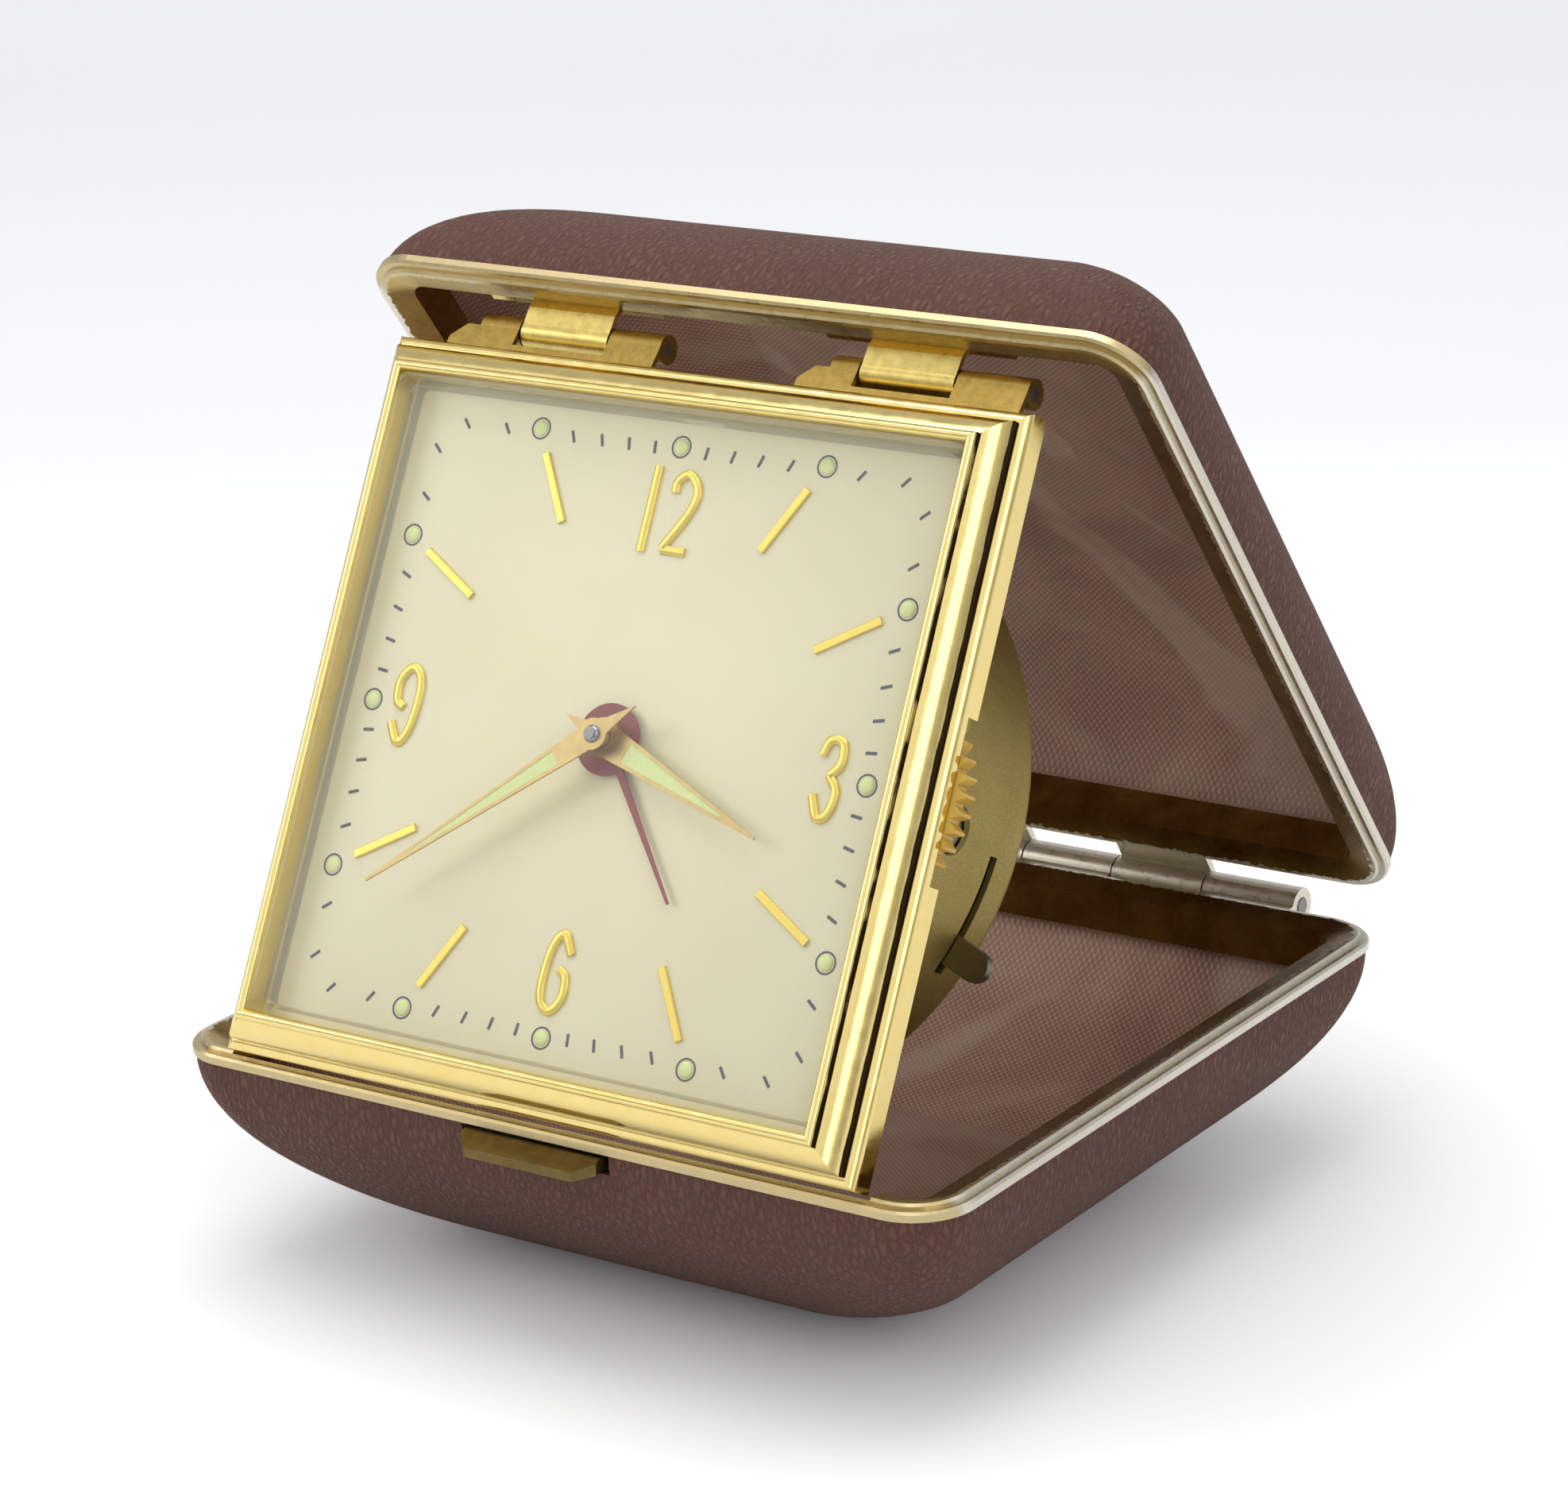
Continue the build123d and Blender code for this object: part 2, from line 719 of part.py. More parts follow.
# Toothed wheels
def tooth_points(teeth, module, flank):
    """Corner points of a toothed wheel, one tooth centred on the x axis."""
    pitch_radius = module * teeth / 2
    root = pitch_radius - dedendum_share * module
    tip = pitch_radius + addendum_share * module
    lean = math.tan(math.radians(flank)) * module / pitch_radius
    half = math.pi / (2 * teeth) * (1 - backlash_share)
    foot_half = half + lean * dedendum_share
    tip_half = half - lean * addendum_share
    points = []
    for count in range(teeth):
        middle = 2 * math.pi * count / teeth
        for radius, angle in ((root, -foot_half), (tip, -tip_half), (tip, tip_half), (root, foot_half)):
            points.append((radius * math.cos(middle + angle), radius * math.sin(middle + angle)))
    return points


def toothed_disc(place, depth, thickness, teeth, module, flank, phase, bore):
    """A toothed wheel in the movement, its front face at the given depth."""
    with BuildPart() as wheel:
        with BuildSketch(layer(depth + thickness)):
            with BuildLine():
                Polyline(*placed(tooth_points(teeth, module, flank), place, phase), close=True)
            make_face()
            with Locations(place):
                Circle(bore, mode=Mode.SUBTRACT)
        extrude(amount=thickness)
    return wheel.part


def turned(place, steps):
    """A turned piece on the dial's axis way: steps are (radius, front depth, back depth)."""
    with BuildPart() as piece:
        for radius, front, back in steps:
            with BuildSketch(layer(back)):
                with Locations(place):
                    Circle(radius)
            extrude(amount=back - front)
    return piece.part


def bored(part, place, radius, front, back):
    """The same piece with a hole along the dial's axis way."""
    with BuildPart() as piece:
        add(part)
        with BuildSketch(layer(back)):
            with Locations(place):
                Circle(radius)
        extrude(amount=back - front, mode=Mode.SUBTRACT)
    return piece.part


def polar(radius, angle):
    return (radius * math.cos(math.radians(angle)), radius * math.sin(math.radians(angle)))


centre = (0.0, 0.0)
thumb_centre = (thumb_module * (thumb_teeth + alarm_teeth) / 2, 0.0)
motion_distance = motion_module * (cannon_teeth + minute_wheel_teeth) / 2
minute_centre = polar(motion_distance, minute_wheel_angle)
train_module = 2 * motion_distance / (minute_pinion_teeth + hour_wheel_teeth)
barrel_centre = polar(barrel_distance, barrel_angle)

# Bezel, crystal and dial
band_end = lip_bead + band_width
band_foot = groove_depth + band_fall
outer_top = band_foot + outer_step
band_middle = (
    lip_bead + band_width * band_arc_shares[0],
    -groove_depth - band_fall * band_arc_shares[1],
)
outer_middle = (
    band_end + (bezel_border - band_end) * outer_arc_shares[0],
    -outer_top - outer_fall * outer_arc_shares[1],
)
with BuildPart() as bezel:
    section_plane = Plane(
        origin=clock_frame.from_local_coords((opening_width / 2, 0, 0)),
        x_dir=clock_frame.x_dir,
        z_dir=-clock_frame.y_dir,
    )
    with BuildLine(clock_frame) as opening:
        Polyline(
            (opening_width / 2, 0),
            (opening_width / 2, opening_height / 2),
            (-opening_width / 2, opening_height / 2),
            (-opening_width / 2, -opening_height / 2),
            (opening_width / 2, -opening_height / 2),
            (opening_width / 2, 0),
        )
    with BuildSketch(section_plane) as moulding:
        with BuildLine():
            Line((0, -dial_depth), (0, -lip_bead / 2))
            ThreePointArc((0, -lip_bead / 2), (lip_bead / 2, 0), (lip_bead, -lip_bead / 2))
            Line((lip_bead, -lip_bead / 2), (lip_bead, -groove_depth))
            ThreePointArc((lip_bead, -groove_depth), band_middle, (band_end, -band_foot))
            Line((band_end, -band_foot), (band_end, -outer_top))
            ThreePointArc((band_end, -outer_top), outer_middle, (bezel_border, -outer_top - outer_fall))
            Polyline(
                (bezel_border, -outer_top - outer_fall),
                (bezel_border, -bezel_depth),
                (bezel_border - bezel_sheet, -bezel_depth),
                (bezel_border - bezel_sheet, -bezel_depth + frame_sheet + outer_fall),
                (bezel_sheet, -dial_depth),
                (0, -dial_depth),
            )
        make_face()
    sweep(path=opening.wire(), transition=Transition.RIGHT)
    thumb_window = thumb_module * thumb_teeth * thumb_window_share
    with BuildSketch(layer(bezel_depth)) as thumb_notch:
        with Locations((bezel_half_width, thumb_centre[1])):
            Rectangle(2 * bezel_border, thumb_window)
    extrude(amount=bezel_depth - thumb_wheel_depth + side_gap, mode=Mode.SUBTRACT)
finish(bezel.part, "bezel")

crystal_half_width = opening_width / 2 - crystal_gap
crystal_half_height = opening_height / 2 - crystal_gap


def crystal_sections(wall):
    """Rounded outlines of the domed part, from its edge to its nearly flat top."""
    outlines = []
    for inset_share, rise_share in zip(crystal_inset_shares, crystal_rise_shares):
        inset = inset_share * crystal_half_height
        height = crystal_rise * rise_share - crystal_edge - wall
        half_width = crystal_half_width - wall - inset
        half_height = crystal_half_height - wall - inset
        growth = crystal_corner_share * min(half_width, half_height) - crystal_corner
        radius = crystal_corner + growth * inset_share / crystal_inset_shares[-1]
        with BuildSketch(clock_frame.offset(height)) as outline:
            RectangleRounded(2 * half_width, 2 * half_height, radius)
        outlines.append(outline.sketch)
    return outlines


with BuildPart() as crystal:
    outer_sections = crystal_sections(0.0)
    loft(outer_sections, ruled=True)
    extrude(outer_sections[0], amount=crystal_edge - dial_depth)
    inner_sections = crystal_sections(crystal_wall)
    loft(inner_sections, ruled=True, mode=Mode.SUBTRACT)
    extrude(inner_sections[0], amount=-dial_depth, mode=Mode.SUBTRACT)
finish(crystal.part, "crystal")

dial_back = dial_depth + dial_thickness
dial_width = opening_width + 2 * dial_margin
dial_height = opening_height + 2 * dial_margin
with BuildPart() as dial:
    with BuildSketch(layer(dial_back)):
        Rectangle(dial_width, dial_height)
        Circle(alarm_pipe_radius + side_gap, mode=Mode.SUBTRACT)
    extrude(amount=dial_thickness)
    with BuildSketch(layer(front_plate_depth)):
        for angle in dial_foot_angles:
            with Locations(polar(dial_foot_circle, angle)):
                Circle(dial_foot_radius)
    extrude(amount=front_plate_depth - dial_back)
finish(dial.part, "dial")


def clock_polar(radius, hour):
    """A point on the dial, the angle counted clockwise from twelve."""
    return polar(radius, 90 - 30 * hour)


with BuildPart() as hour_indices:
    with BuildSketch(layer(dial_depth)):
        for hour in (1, 2, 4, 5, 7, 8, 10, 11):
            middle = clock_polar((index_inner + index_outer) / 2, hour)
            with Locations(Location((middle[0], middle[1], 0), (0, 0, 90 - 30 * hour))):
                Rectangle(index_outer - index_inner, index_width)
    extrude(amount=index_height)
finish(hour_indices.part, "hour_indices")

# Pen paths of the raised figures: shares of half a figure's width and height
two_path = ((-0.9, 0.5), (-0.85, 0.8), (0.0, 1.0), (0.95, 0.62), (0.6, 0.0), (-0.95, -0.95))
three_path_upper = ((-0.85, 0.55), (-0.4, 0.95), (0.6, 0.9), (0.75, 0.4), (0.05, 0.08))
three_path_lower = ((0.05, 0.08), (0.8, -0.3), (0.55, -0.85), (-0.25, -1.0), (-0.95, -0.45))
nine_path = (
    (-0.2, -0.08),
    (-0.85, 0.1),
    (-0.9, 0.65),
    (0.0, 1.0),
    (0.9, 0.6),
    (0.8, -0.5),
    (0.0, -1.0),
    (-0.95, -0.5),
)
figure_half_height = numeral_height / 2 - stroke_width / 2


def figure_points(pen_path, middle, turn=1):
    """A pen path at a figure's real size; a turn of -1 stands it on its head."""
    points = []
    for across, rise in pen_path:
        x = middle[0] + turn * across * figure_half_width
        points.append((x, middle[1] + turn * rise * figure_half_height))
    return points


with BuildPart() as dial_numerals:
    with BuildSketch(layer(dial_depth)) as figures:
        one_x = -figure_half_width - stroke_width / 2
        two_x = figure_half_width + stroke_width / 2
        with Locations((one_x, numeral_radius)):
            Rectangle(stroke_width, numeral_height)
        with Locations((two_x, numeral_radius - figure_half_height)):
            Rectangle(2 * figure_half_width, stroke_width)
        for pen_points in (
            figure_points(two_path, (two_x, numeral_radius)),
            figure_points(three_path_upper, (side_numeral_radius, 0)),
            figure_points(three_path_lower, (side_numeral_radius, 0)),
            figure_points(nine_path, (0, -numeral_radius), turn=-1),
            figure_points(nine_path, (-side_numeral_radius, 0)),
        ):
            with BuildLine():
                Spline(*pen_points)
            trace(line_width=stroke_width)
    extrude(amount=index_height)
finish(dial_numerals.part, "dial_numerals")

with BuildPart() as lume_dots:
    with BuildSketch(layer(dial_depth)):
        for hour in range(12):
            spot = clock_polar(1, hour)
            reach = dot_track / max(abs(spot[0]), abs(spot[1]))
            with Locations((spot[0] * reach, spot[1] * reach)):
                Circle(dot_radius)
    extrude(amount=dot_height)
finish(lume_dots.part, "lume_dots")

with BuildPart() as back_frame:
    with BuildSketch(layer(bezel_depth)):
        Rectangle(2 * (bezel_half_width - bezel_sheet), 2 * (bezel_half_height - bezel_sheet))
        Circle(frame_bore, mode=Mode.SUBTRACT)
        with Locations(thumb_centre):
            Circle(thumb_module * (thumb_teeth / 2 + 1) + side_gap, mode=Mode.SUBTRACT)
    extrude(amount=frame_sheet)
finish(back_frame.part, "back_frame")


# Hands, each an open frame round a strip of luminous paint
def window_points(length, width):
    """The window along a hand's blade, for a hand that points along x."""
    inner = length * lume_inner_share
    outer = length * lume_outer_share
    half = width / 2 * (length - inner) / (length - width / 2) - hand_rim
    return ((inner, -half), (outer, -lume_tip_half), (outer, lume_tip_half), (inner, half))


def make_hand(depth, angle, length, tail, width, bore):
    """A kite-shaped hand with a pointed tail and a window along its blade."""
    blade_points = (
        (-tail, 0),
        (width / 2, -width / 2),
        (length, -lume_tip_half),
        (length, lume_tip_half),
        (width / 2, width / 2),
    )
    with BuildPart() as blade:
        with BuildSketch(layer(depth + hand_sheet)):
            with BuildLine():
                Polyline(*placed(blade_points, centre, 90 - angle), close=True)
            make_face()
            Circle(width * hand_boss_share)
            with BuildLine():
                Polyline(*placed(window_points(length, width), centre, 90 - angle), close=True)
            make_face(mode=Mode.SUBTRACT)
            Circle(bore, mode=Mode.SUBTRACT)
        extrude(amount=hand_sheet)
    return blade.part


def make_lume(depth, angle, length, width):
    """The paint that fills a hand's window, a little below its front face."""
    with BuildPart() as paint:
        with BuildSketch(layer(depth + hand_sheet)):
            with BuildLine():
                Polyline(*placed(window_points(length, width), centre, 90 - angle), close=True)
            make_face()
        extrude(amount=hand_sheet * lume_fill_share)
    return paint.part


minute_blade = make_hand(
    minute_hand_depth,
    minute_hand_angle,
    minute_hand_length,
    minute_hand_tail,
    minute_hand_width,
    cannon_radius,
)
finish(minute_blade, "minute_hand")
minute_paint = make_lume(minute_hand_depth, minute_hand_angle, minute_hand_length, minute_hand_width)
finish(minute_paint, "minute_hand_lume")
hour_blade = make_hand(
    hour_hand_depth,
    hour_hand_angle,
    hour_hand_length,
    hour_hand_tail,
    hour_hand_width,
    hour_pipe_radius,
)
finish(hour_blade, "hour_hand")
finish(make_lume(hour_hand_depth, hour_hand_angle, hour_hand_length, hour_hand_width), "hour_hand_lume")

alarm_points = (
    (0, -alarm_hand_width / 2),
    (alarm_hand_length, -lume_tip_half),
    (alarm_hand_length, lume_tip_half),
    (0, alarm_hand_width / 2),
)
with BuildPart() as alarm_hand:
    with BuildSketch(layer(alarm_hand_depth + hand_sheet)):
        with BuildLine():
            Polyline(*placed(alarm_points, centre, 90 - alarm_hand_angle), close=True)
        make_face()
        Circle(alarm_disc_radius)
        Circle(alarm_pipe_radius, mode=Mode.SUBTRACT)
    extrude(amount=hand_sheet)
finish(alarm_hand.part, "alarm_hand")

# Motion work between the dial and the front plate
alarm_pipe = turned(centre, [(alarm_pipe_radius, alarm_hand_depth, alarm_wheel_depth)])
alarm_disc = toothed_disc(
    centre, alarm_wheel_depth, alarm_wheel_thickness, alarm_teeth, thumb_module, thumb_flank, 0, arbor_radius
)
alarm_wheel = bored(
    alarm_pipe + alarm_disc,
    centre,
    hour_pipe_radius + running_gap,
    alarm_hand_depth - overrun,
    alarm_wheel_depth + alarm_wheel_thickness + overrun,
)
finish(alarm_wheel, "alarm_wheel")

hour_pipe = turned(centre, [(hour_pipe_radius, hour_hand_depth, hour_wheel_depth)])
hour_disc = toothed_disc(
    centre,
    hour_wheel_depth,
    hour_wheel_thickness,
    hour_wheel_teeth,
    train_module,
    tooth_flank,
    minute_wheel_angle,
    arbor_radius,
)
hour_wheel = bored(
    hour_pipe + hour_disc,
    centre,
    cannon_radius + running_gap,
    hour_hand_depth - overrun,
    hour_wheel_depth + hour_wheel_thickness + overrun,
)
finish(hour_wheel, "hour_wheel")

cannon_top = hour_wheel_depth + hour_wheel_thickness + running_gap
cannon_length = minute_wheel_depth + minute_wheel_thickness - cannon_top
cannon_pipe = turned(centre, [(cannon_radius, minute_hand_depth, cannon_top)])
cannon_teeth_disc = toothed_disc(
    centre,
    cannon_top,
    cannon_length,
    cannon_teeth,
    motion_module,
    tooth_flank,
    minute_wheel_angle,
    arbor_radius,
)
cannon_pinion = bored(
    cannon_pipe + cannon_teeth_disc,
    centre,
    arbor_radius,
    minute_hand_depth - overrun,
    cannon_top + cannon_length + overrun,
)
finish(cannon_pinion, "cannon_pinion")

facing = minute_wheel_angle + 180
minute_disc = toothed_disc(
    minute_centre,
    minute_wheel_depth,
    minute_wheel_thickness,
    minute_wheel_teeth,
    motion_module,
    tooth_flank,
    facing + 180 / minute_wheel_teeth,
    minute_post_radius + running_gap,
)
pinion_top = hour_wheel_depth - running_gap
minute_pinion = toothed_disc(
    minute_centre,
    pinion_top,
    minute_wheel_depth - pinion_top,
    minute_pinion_teeth,
    train_module,
    tooth_flank,
    facing + 180 / minute_pinion_teeth,
    minute_post_radius + running_gap,
)
finish(minute_disc + minute_pinion, "minute_wheel")

thumb_wheel = toothed_disc(
    thumb_centre,
    thumb_wheel_depth,
    thumb_wheel_thickness,
    thumb_teeth,
    thumb_module,
    thumb_flank,
    180 + 180 / thumb_teeth,
    thumb_post_radius + running_gap,
)
finish(thumb_wheel, "thumb_wheel")

thumb_post = turned(thumb_centre, [(thumb_post_radius, thumb_wheel_depth - side_gap, front_plate_depth)])
finish(thumb_post, "thumb_post")
minute_post = turned(minute_centre, [(minute_post_radius, pinion_top, front_plate_depth)])
finish(minute_post, "minute_post")

# Arbor, centre wheel and setting knob
wall_back = drum_depth
knob_front = wall_back + key_clearance
knob_back = knob_front + set_knob_height
pinion_front = barrel_top_depth - running_gap
pinion_length = 3 * wheel_sheet
arbor_rod = turned(centre, [(arbor_radius, minute_hand_depth - pinion_tip_rise, knob_back - wheel_sheet)])
centre_pinion = toothed_disc(
    centre,
    pinion_front,
    pinion_length,
    centre_pinion_teeth,
    barrel_module,
    tooth_flank,
    barrel_angle,
    arbor_radius / 2,
)
finish(arbor_rod + centre_pinion, "centre_arbor")

with BuildPart() as centre_wheel:
    with BuildSketch(layer(centre_wheel_depth + wheel_sheet)):
        Circle(centre_wheel_radius)
        Circle(centre_wheel_radius - 2 * wheel_sheet, mode=Mode.SUBTRACT)
        for angle in (0, 90):
            with Locations(Location((0, 0, 0), (0, 0, angle))):
                Rectangle(2 * (centre_wheel_radius - wheel_sheet), 2 * wheel_sheet)
        Circle(2 * cannon_radius)
        Circle(arbor_radius, mode=Mode.SUBTRACT)
    extrude(amount=wheel_sheet)
finish(centre_wheel.part, "centre_wheel")

with BuildPart() as set_knob:
    with BuildSketch(layer(knob_back)):
        Circle(set_knob_radius)
        with PolarLocations(set_knob_radius, set_knob_flutes):
            Circle(flute_radius, mode=Mode.SUBTRACT)
    extrude(amount=set_knob_height)
    with BuildSketch(layer(knob_back - wheel_sheet)):
        Circle(arbor_radius)
    extrude(amount=set_knob_height, mode=Mode.SUBTRACT)
finish(set_knob.part, "set_knob")

# Plates, pillars and what turns between them
plate_back = front_plate_depth + plate_thickness
back_plate_rear = back_plate_depth + plate_thickness
pivot_depth = front_plate_depth + plate_thickness / 4
rear_pivot_depth = back_plate_rear - plate_thickness / 4
train_pivots = (
    (centre, arbor_radius),
    (barrel_centre, key_arbor_radius),
    (alarm_barrel_centre, key_arbor_radius),
    (balance_centre, balance_staff_radius),
    (hammer_centre, hammer_staff_radius),
)


def pivot_plate(front, back, reach):
    with BuildPart() as plate:
        with BuildSketch(layer(back)):
            Circle(reach)
            for place, radius in train_pivots:
                with Locations(place):
                    Circle(radius + running_gap, mode=Mode.SUBTRACT)
        extrude(amount=back - front)
    return plate.part


finish(pivot_plate(front_plate_depth, plate_back, plate_radius), "front_plate")

bush_middle = lever_depth - running_gap
bush_end = lever_depth + lever_sheet + running_gap
regulator_stud = turned(
    balance_centre, [(hammer_staff_radius, back_plate_rear, regulator_depth + regulator_sheet)]
)
with BuildPart() as back_plate:
    add(pivot_plate(back_plate_depth, back_plate_rear, plate_radius))
    add(regulator_stud)
finish(back_plate.part, "back_plate")

lever_bush = turned(
    centre,
    [
        (lever_hub_radius, back_plate_rear, bush_middle),
        (lever_boss_radius, bush_middle, bush_end),
        (lever_hub_radius, bush_end, bush_end + wheel_sheet),
    ],
)
lever_bush = bored(lever_bush, centre, arbor_radius + running_gap, back_plate_rear - overrun, wall_back)
finish(lever_bush, "lever_bush")


def ring_of_posts(name, circle, angles, radius, front, back):
    """Round posts of one size, spaced about the middle of the movement."""
    with BuildPart() as posts:
        with BuildSketch(layer(back)):
            for angle in angles:
                with Locations(polar(circle, angle)):
                    Circle(radius)
        extrude(amount=back - front)
    finish(posts.part, name)


ring_of_posts("plate_pillars", pillar_circle, pillar_angles, pillar_radius, plate_back, back_plate_depth)
ring_of_posts("frame_spacers", spacer_circle, spacer_angles, spacer_radius, bezel_depth, front_plate_depth)
ring_of_posts(
    "plate_screws",
    pillar_circle,
    pillar_angles,
    pillar_radius + side_gap,
    back_plate_rear,
    back_plate_rear + wheel_sheet,
)

wall_front = wall_back - drum_sheet
with BuildPart() as cover_posts:
    for angle in cover_post_angles:
        with BuildSketch(layer(wall_front)) as post_outline:
            with Locations(polar(cover_post_circle, angle)):
                Circle(cover_post_radius)
        extrude(amount=wall_front - back_plate_rear)
        with BuildSketch(layer(wall_front)) as post_bore:
            with Locations(polar(cover_post_circle, angle)):
                Circle(cover_screw_shank)
        extrude(amount=cover_screw_reach, mode=Mode.SUBTRACT)
finish(cover_posts.part, "cover_posts")

with BuildPart() as cover_screws:
    for angle in cover_post_angles:
        spot = polar(cover_post_circle, angle)
        with BuildSketch(layer(wall_back + cover_screw_height)) as screw_head:
            with Locations(spot):
                Circle(cover_screw_radius)
        extrude(amount=cover_screw_height)
        with BuildSketch(layer(wall_back + cover_screw_height)) as screw_slot:
            with Locations(Location((spot[0], spot[1], 0), (0, 0, 2 * angle))):
                Rectangle(2 * cover_screw_radius, cover_screw_slot)
        extrude(amount=cover_screw_height / 2, mode=Mode.SUBTRACT)
        with BuildSketch(layer(wall_back)) as screw_shank:
            with Locations(spot):
                Circle(cover_screw_shank)
        extrude(amount=drum_sheet + cover_screw_reach)
finish(cover_screws.part, "cover_screws")


def barrel(place, radius, phase):
    """A toothed going barrel, its coiled mainspring counted as solid."""
    body = turned(place, [(radius, barrel_top_depth, barrel_top_depth + barrel_height)])
    if phase is not None:
        body = body + toothed_disc(
            place,
            barrel_top_depth,
            2 * wheel_sheet,
            barrel_teeth,
            barrel_module,
            tooth_flank,
            phase,
            arbor_radius,
        )
    return bored(
        body,
        place,
        key_arbor_radius + running_gap,
        barrel_top_depth - overrun,
        barrel_top_depth + barrel_height + overrun,
    )


barrel_phase = barrel_angle + 180 + 180 / barrel_teeth
finish(barrel(barrel_centre, barrel_drum_radius, barrel_phase), "going_barrel")
finish(barrel(alarm_barrel_centre, alarm_barrel_radius, None), "alarm_barrel")

key_front = wall_back + key_clearance
arbor_end = key_front + key_boss_height * key_bore_share


def winding_key(place, angle):
    """A flat-winged key on a round boss, bored to sit on its arbor."""
    with BuildPart() as key:
        add(turned(place, [(key_boss_radius, key_front, key_front + key_boss_height)]))
        with BuildSketch(layer(key_front + key_boss_height + key_wing_height)) as wings:
            with Locations(Location((place[0], place[1], 0), (0, 0, angle))):
                SlotOverall(key_span, key_wing_sheet)
        extrude(amount=key_wing_height + key_boss_height / 2)
        with BuildSketch(layer(arbor_end)) as bore:
            with Locations(place):
                Circle(key_arbor_radius)
        extrude(amount=key_boss_height, mode=Mode.SUBTRACT)
    return key.part


keys = (("going", barrel_centre, going_key_angle), ("alarm", alarm_barrel_centre, alarm_key_angle))
for name, place, angle in keys:
    finish(turned(place, [(key_arbor_radius, pivot_depth, arbor_end)]), f"{name}_arbor")
    finish(winding_key(place, angle), f"{name}_key")

with BuildPart() as balance_wheel:
    with BuildSketch(layer(balance_depth + balance_sheet)):
        with Locations(balance_centre):
            Circle(balance_radius)
            Circle(balance_radius - balance_rim, mode=Mode.SUBTRACT)
        with Locations(balance_centre):
            Rectangle(2 * balance_radius - balance_rim, balance_rim)
        with Locations(balance_centre):
            Circle(3 * balance_staff_radius)
            Circle(balance_staff_radius, mode=Mode.SUBTRACT)
    extrude(amount=balance_sheet)
finish(balance_wheel.part, "balance_wheel")
finish(turned(balance_centre, [(balance_staff_radius, pivot_depth, rear_pivot_depth)]), "balance_staff")

with BuildPart() as hammer:
    with BuildSketch(layer(hammer_depth + hammer_sheet)) as hammer_arm:
        with Locations(Location((hammer_centre[0], hammer_centre[1], 0), (0, 0, hammer_angle))):
            with Locations((hammer_reach / 2, 0)):
                Rectangle(hammer_reach, hammer_arm_width)
        with Locations(hammer_centre):
            Circle(hammer_boss_radius)
        with Locations(hammer_head_centre):
            Circle(hammer_head_radius)
    extrude(amount=hammer_sheet)
    add(turned(hammer_centre, [(hammer_staff_radius, pivot_depth, rear_pivot_depth)]))
finish(hammer.part, "hammer")

with BuildPart() as gong_band:
    with BuildSketch(layer(back_plate_depth)):
        Circle(gong_radius)
        Circle(gong_radius - gong_sheet, mode=Mode.SUBTRACT)
    extrude(amount=back_plate_depth - gong_front)
finish(gong_band.part, "gong_band")


def wedge(reach, start, stop):
    """A pie slice about the middle, as corner points."""
    return ((0, 0), polar(reach, start), polar(reach, (start + stop) / 2), polar(reach, stop))


with BuildPart() as drum_cover:
    with BuildSketch(layer(drum_depth)) as drum_outline:
        Circle(drum_radius)
    extrude(amount=drum_depth - bezel_depth)
    rear_faces = drum_cover.faces().filter_by(GeomType.PLANE).sort_by(Axis((0, 0, 0), tuple(-front_way)))
    fillet(rear_faces[-1].edges(), radius=drum_edge)
    with BuildSketch(layer(wall_front)) as drum_bore:
        Circle(drum_radius - drum_sheet)
    extrude(amount=drum_depth, mode=Mode.SUBTRACT)
    with BuildSketch(layer(thumb_wheel_depth + thumb_wheel_thickness + side_gap)) as thumb_window_outline:
        with Locations(thumb_centre):
            Circle(thumb_module * (thumb_teeth / 2 + 1) + side_gap)
    extrude(amount=bezel_depth, mode=Mode.SUBTRACT)
    with BuildSketch(layer(lever_depth + lever_sheet + slot_gap)) as lever_slot:
        with BuildLine():
            Polyline(*wedge(drum_radius * slot_cut_shares[1], slot_bottom_angle, slot_top_angle), close=True)
        make_face()
        Circle(drum_radius * slot_cut_shares[0], mode=Mode.SUBTRACT)
    extrude(amount=lever_sheet + 2 * slot_gap, mode=Mode.SUBTRACT)
    sight_spot = polar(1, sight_hole_angle)
    sight_way = clock_frame.x_dir * sight_spot[0] + clock_frame.y_dir * sight_spot[1]
    sight_centre = dial_centre - front_way * sight_hole_depth
    with BuildSketch(Plane(origin=sight_centre, x_dir=front_way, z_dir=sight_way)) as sight_hole:
        Circle(sight_hole_radius)
    extrude(amount=drum_radius + overrun, mode=Mode.SUBTRACT)
    with BuildSketch(layer(wall_back + overrun)) as wall_holes:
        for place, radius in train_pivots[:3]:
            with Locations(place):
                Circle(radius + side_gap)
        for angle in cover_post_angles:
            with Locations(polar(cover_post_circle, angle)):
                Circle(cover_screw_shank)
    extrude(amount=drum_sheet + 2 * overrun, mode=Mode.SUBTRACT)
    half_travel = regulator_travel / 2 + regulator_ease
    slot_wedge = wedge(2 * regulator_reach, regulator_angle - half_travel, regulator_angle + half_travel)
    with BuildSketch(layer(wall_back + overrun)) as regulator_slot:
        with Locations(balance_centre):
            Circle(regulator_reach + regulator_width / 2 + side_gap)
            Circle(regulator_reach - regulator_width / 2 - side_gap, mode=Mode.SUBTRACT)
        with BuildLine():
            Polyline(*placed(slot_wedge, balance_centre, 0), close=True)
        make_face(mode=Mode.INTERSECT)
    extrude(amount=drum_sheet + 2 * overrun, mode=Mode.SUBTRACT)
finish(drum_cover.part, "drum_cover")

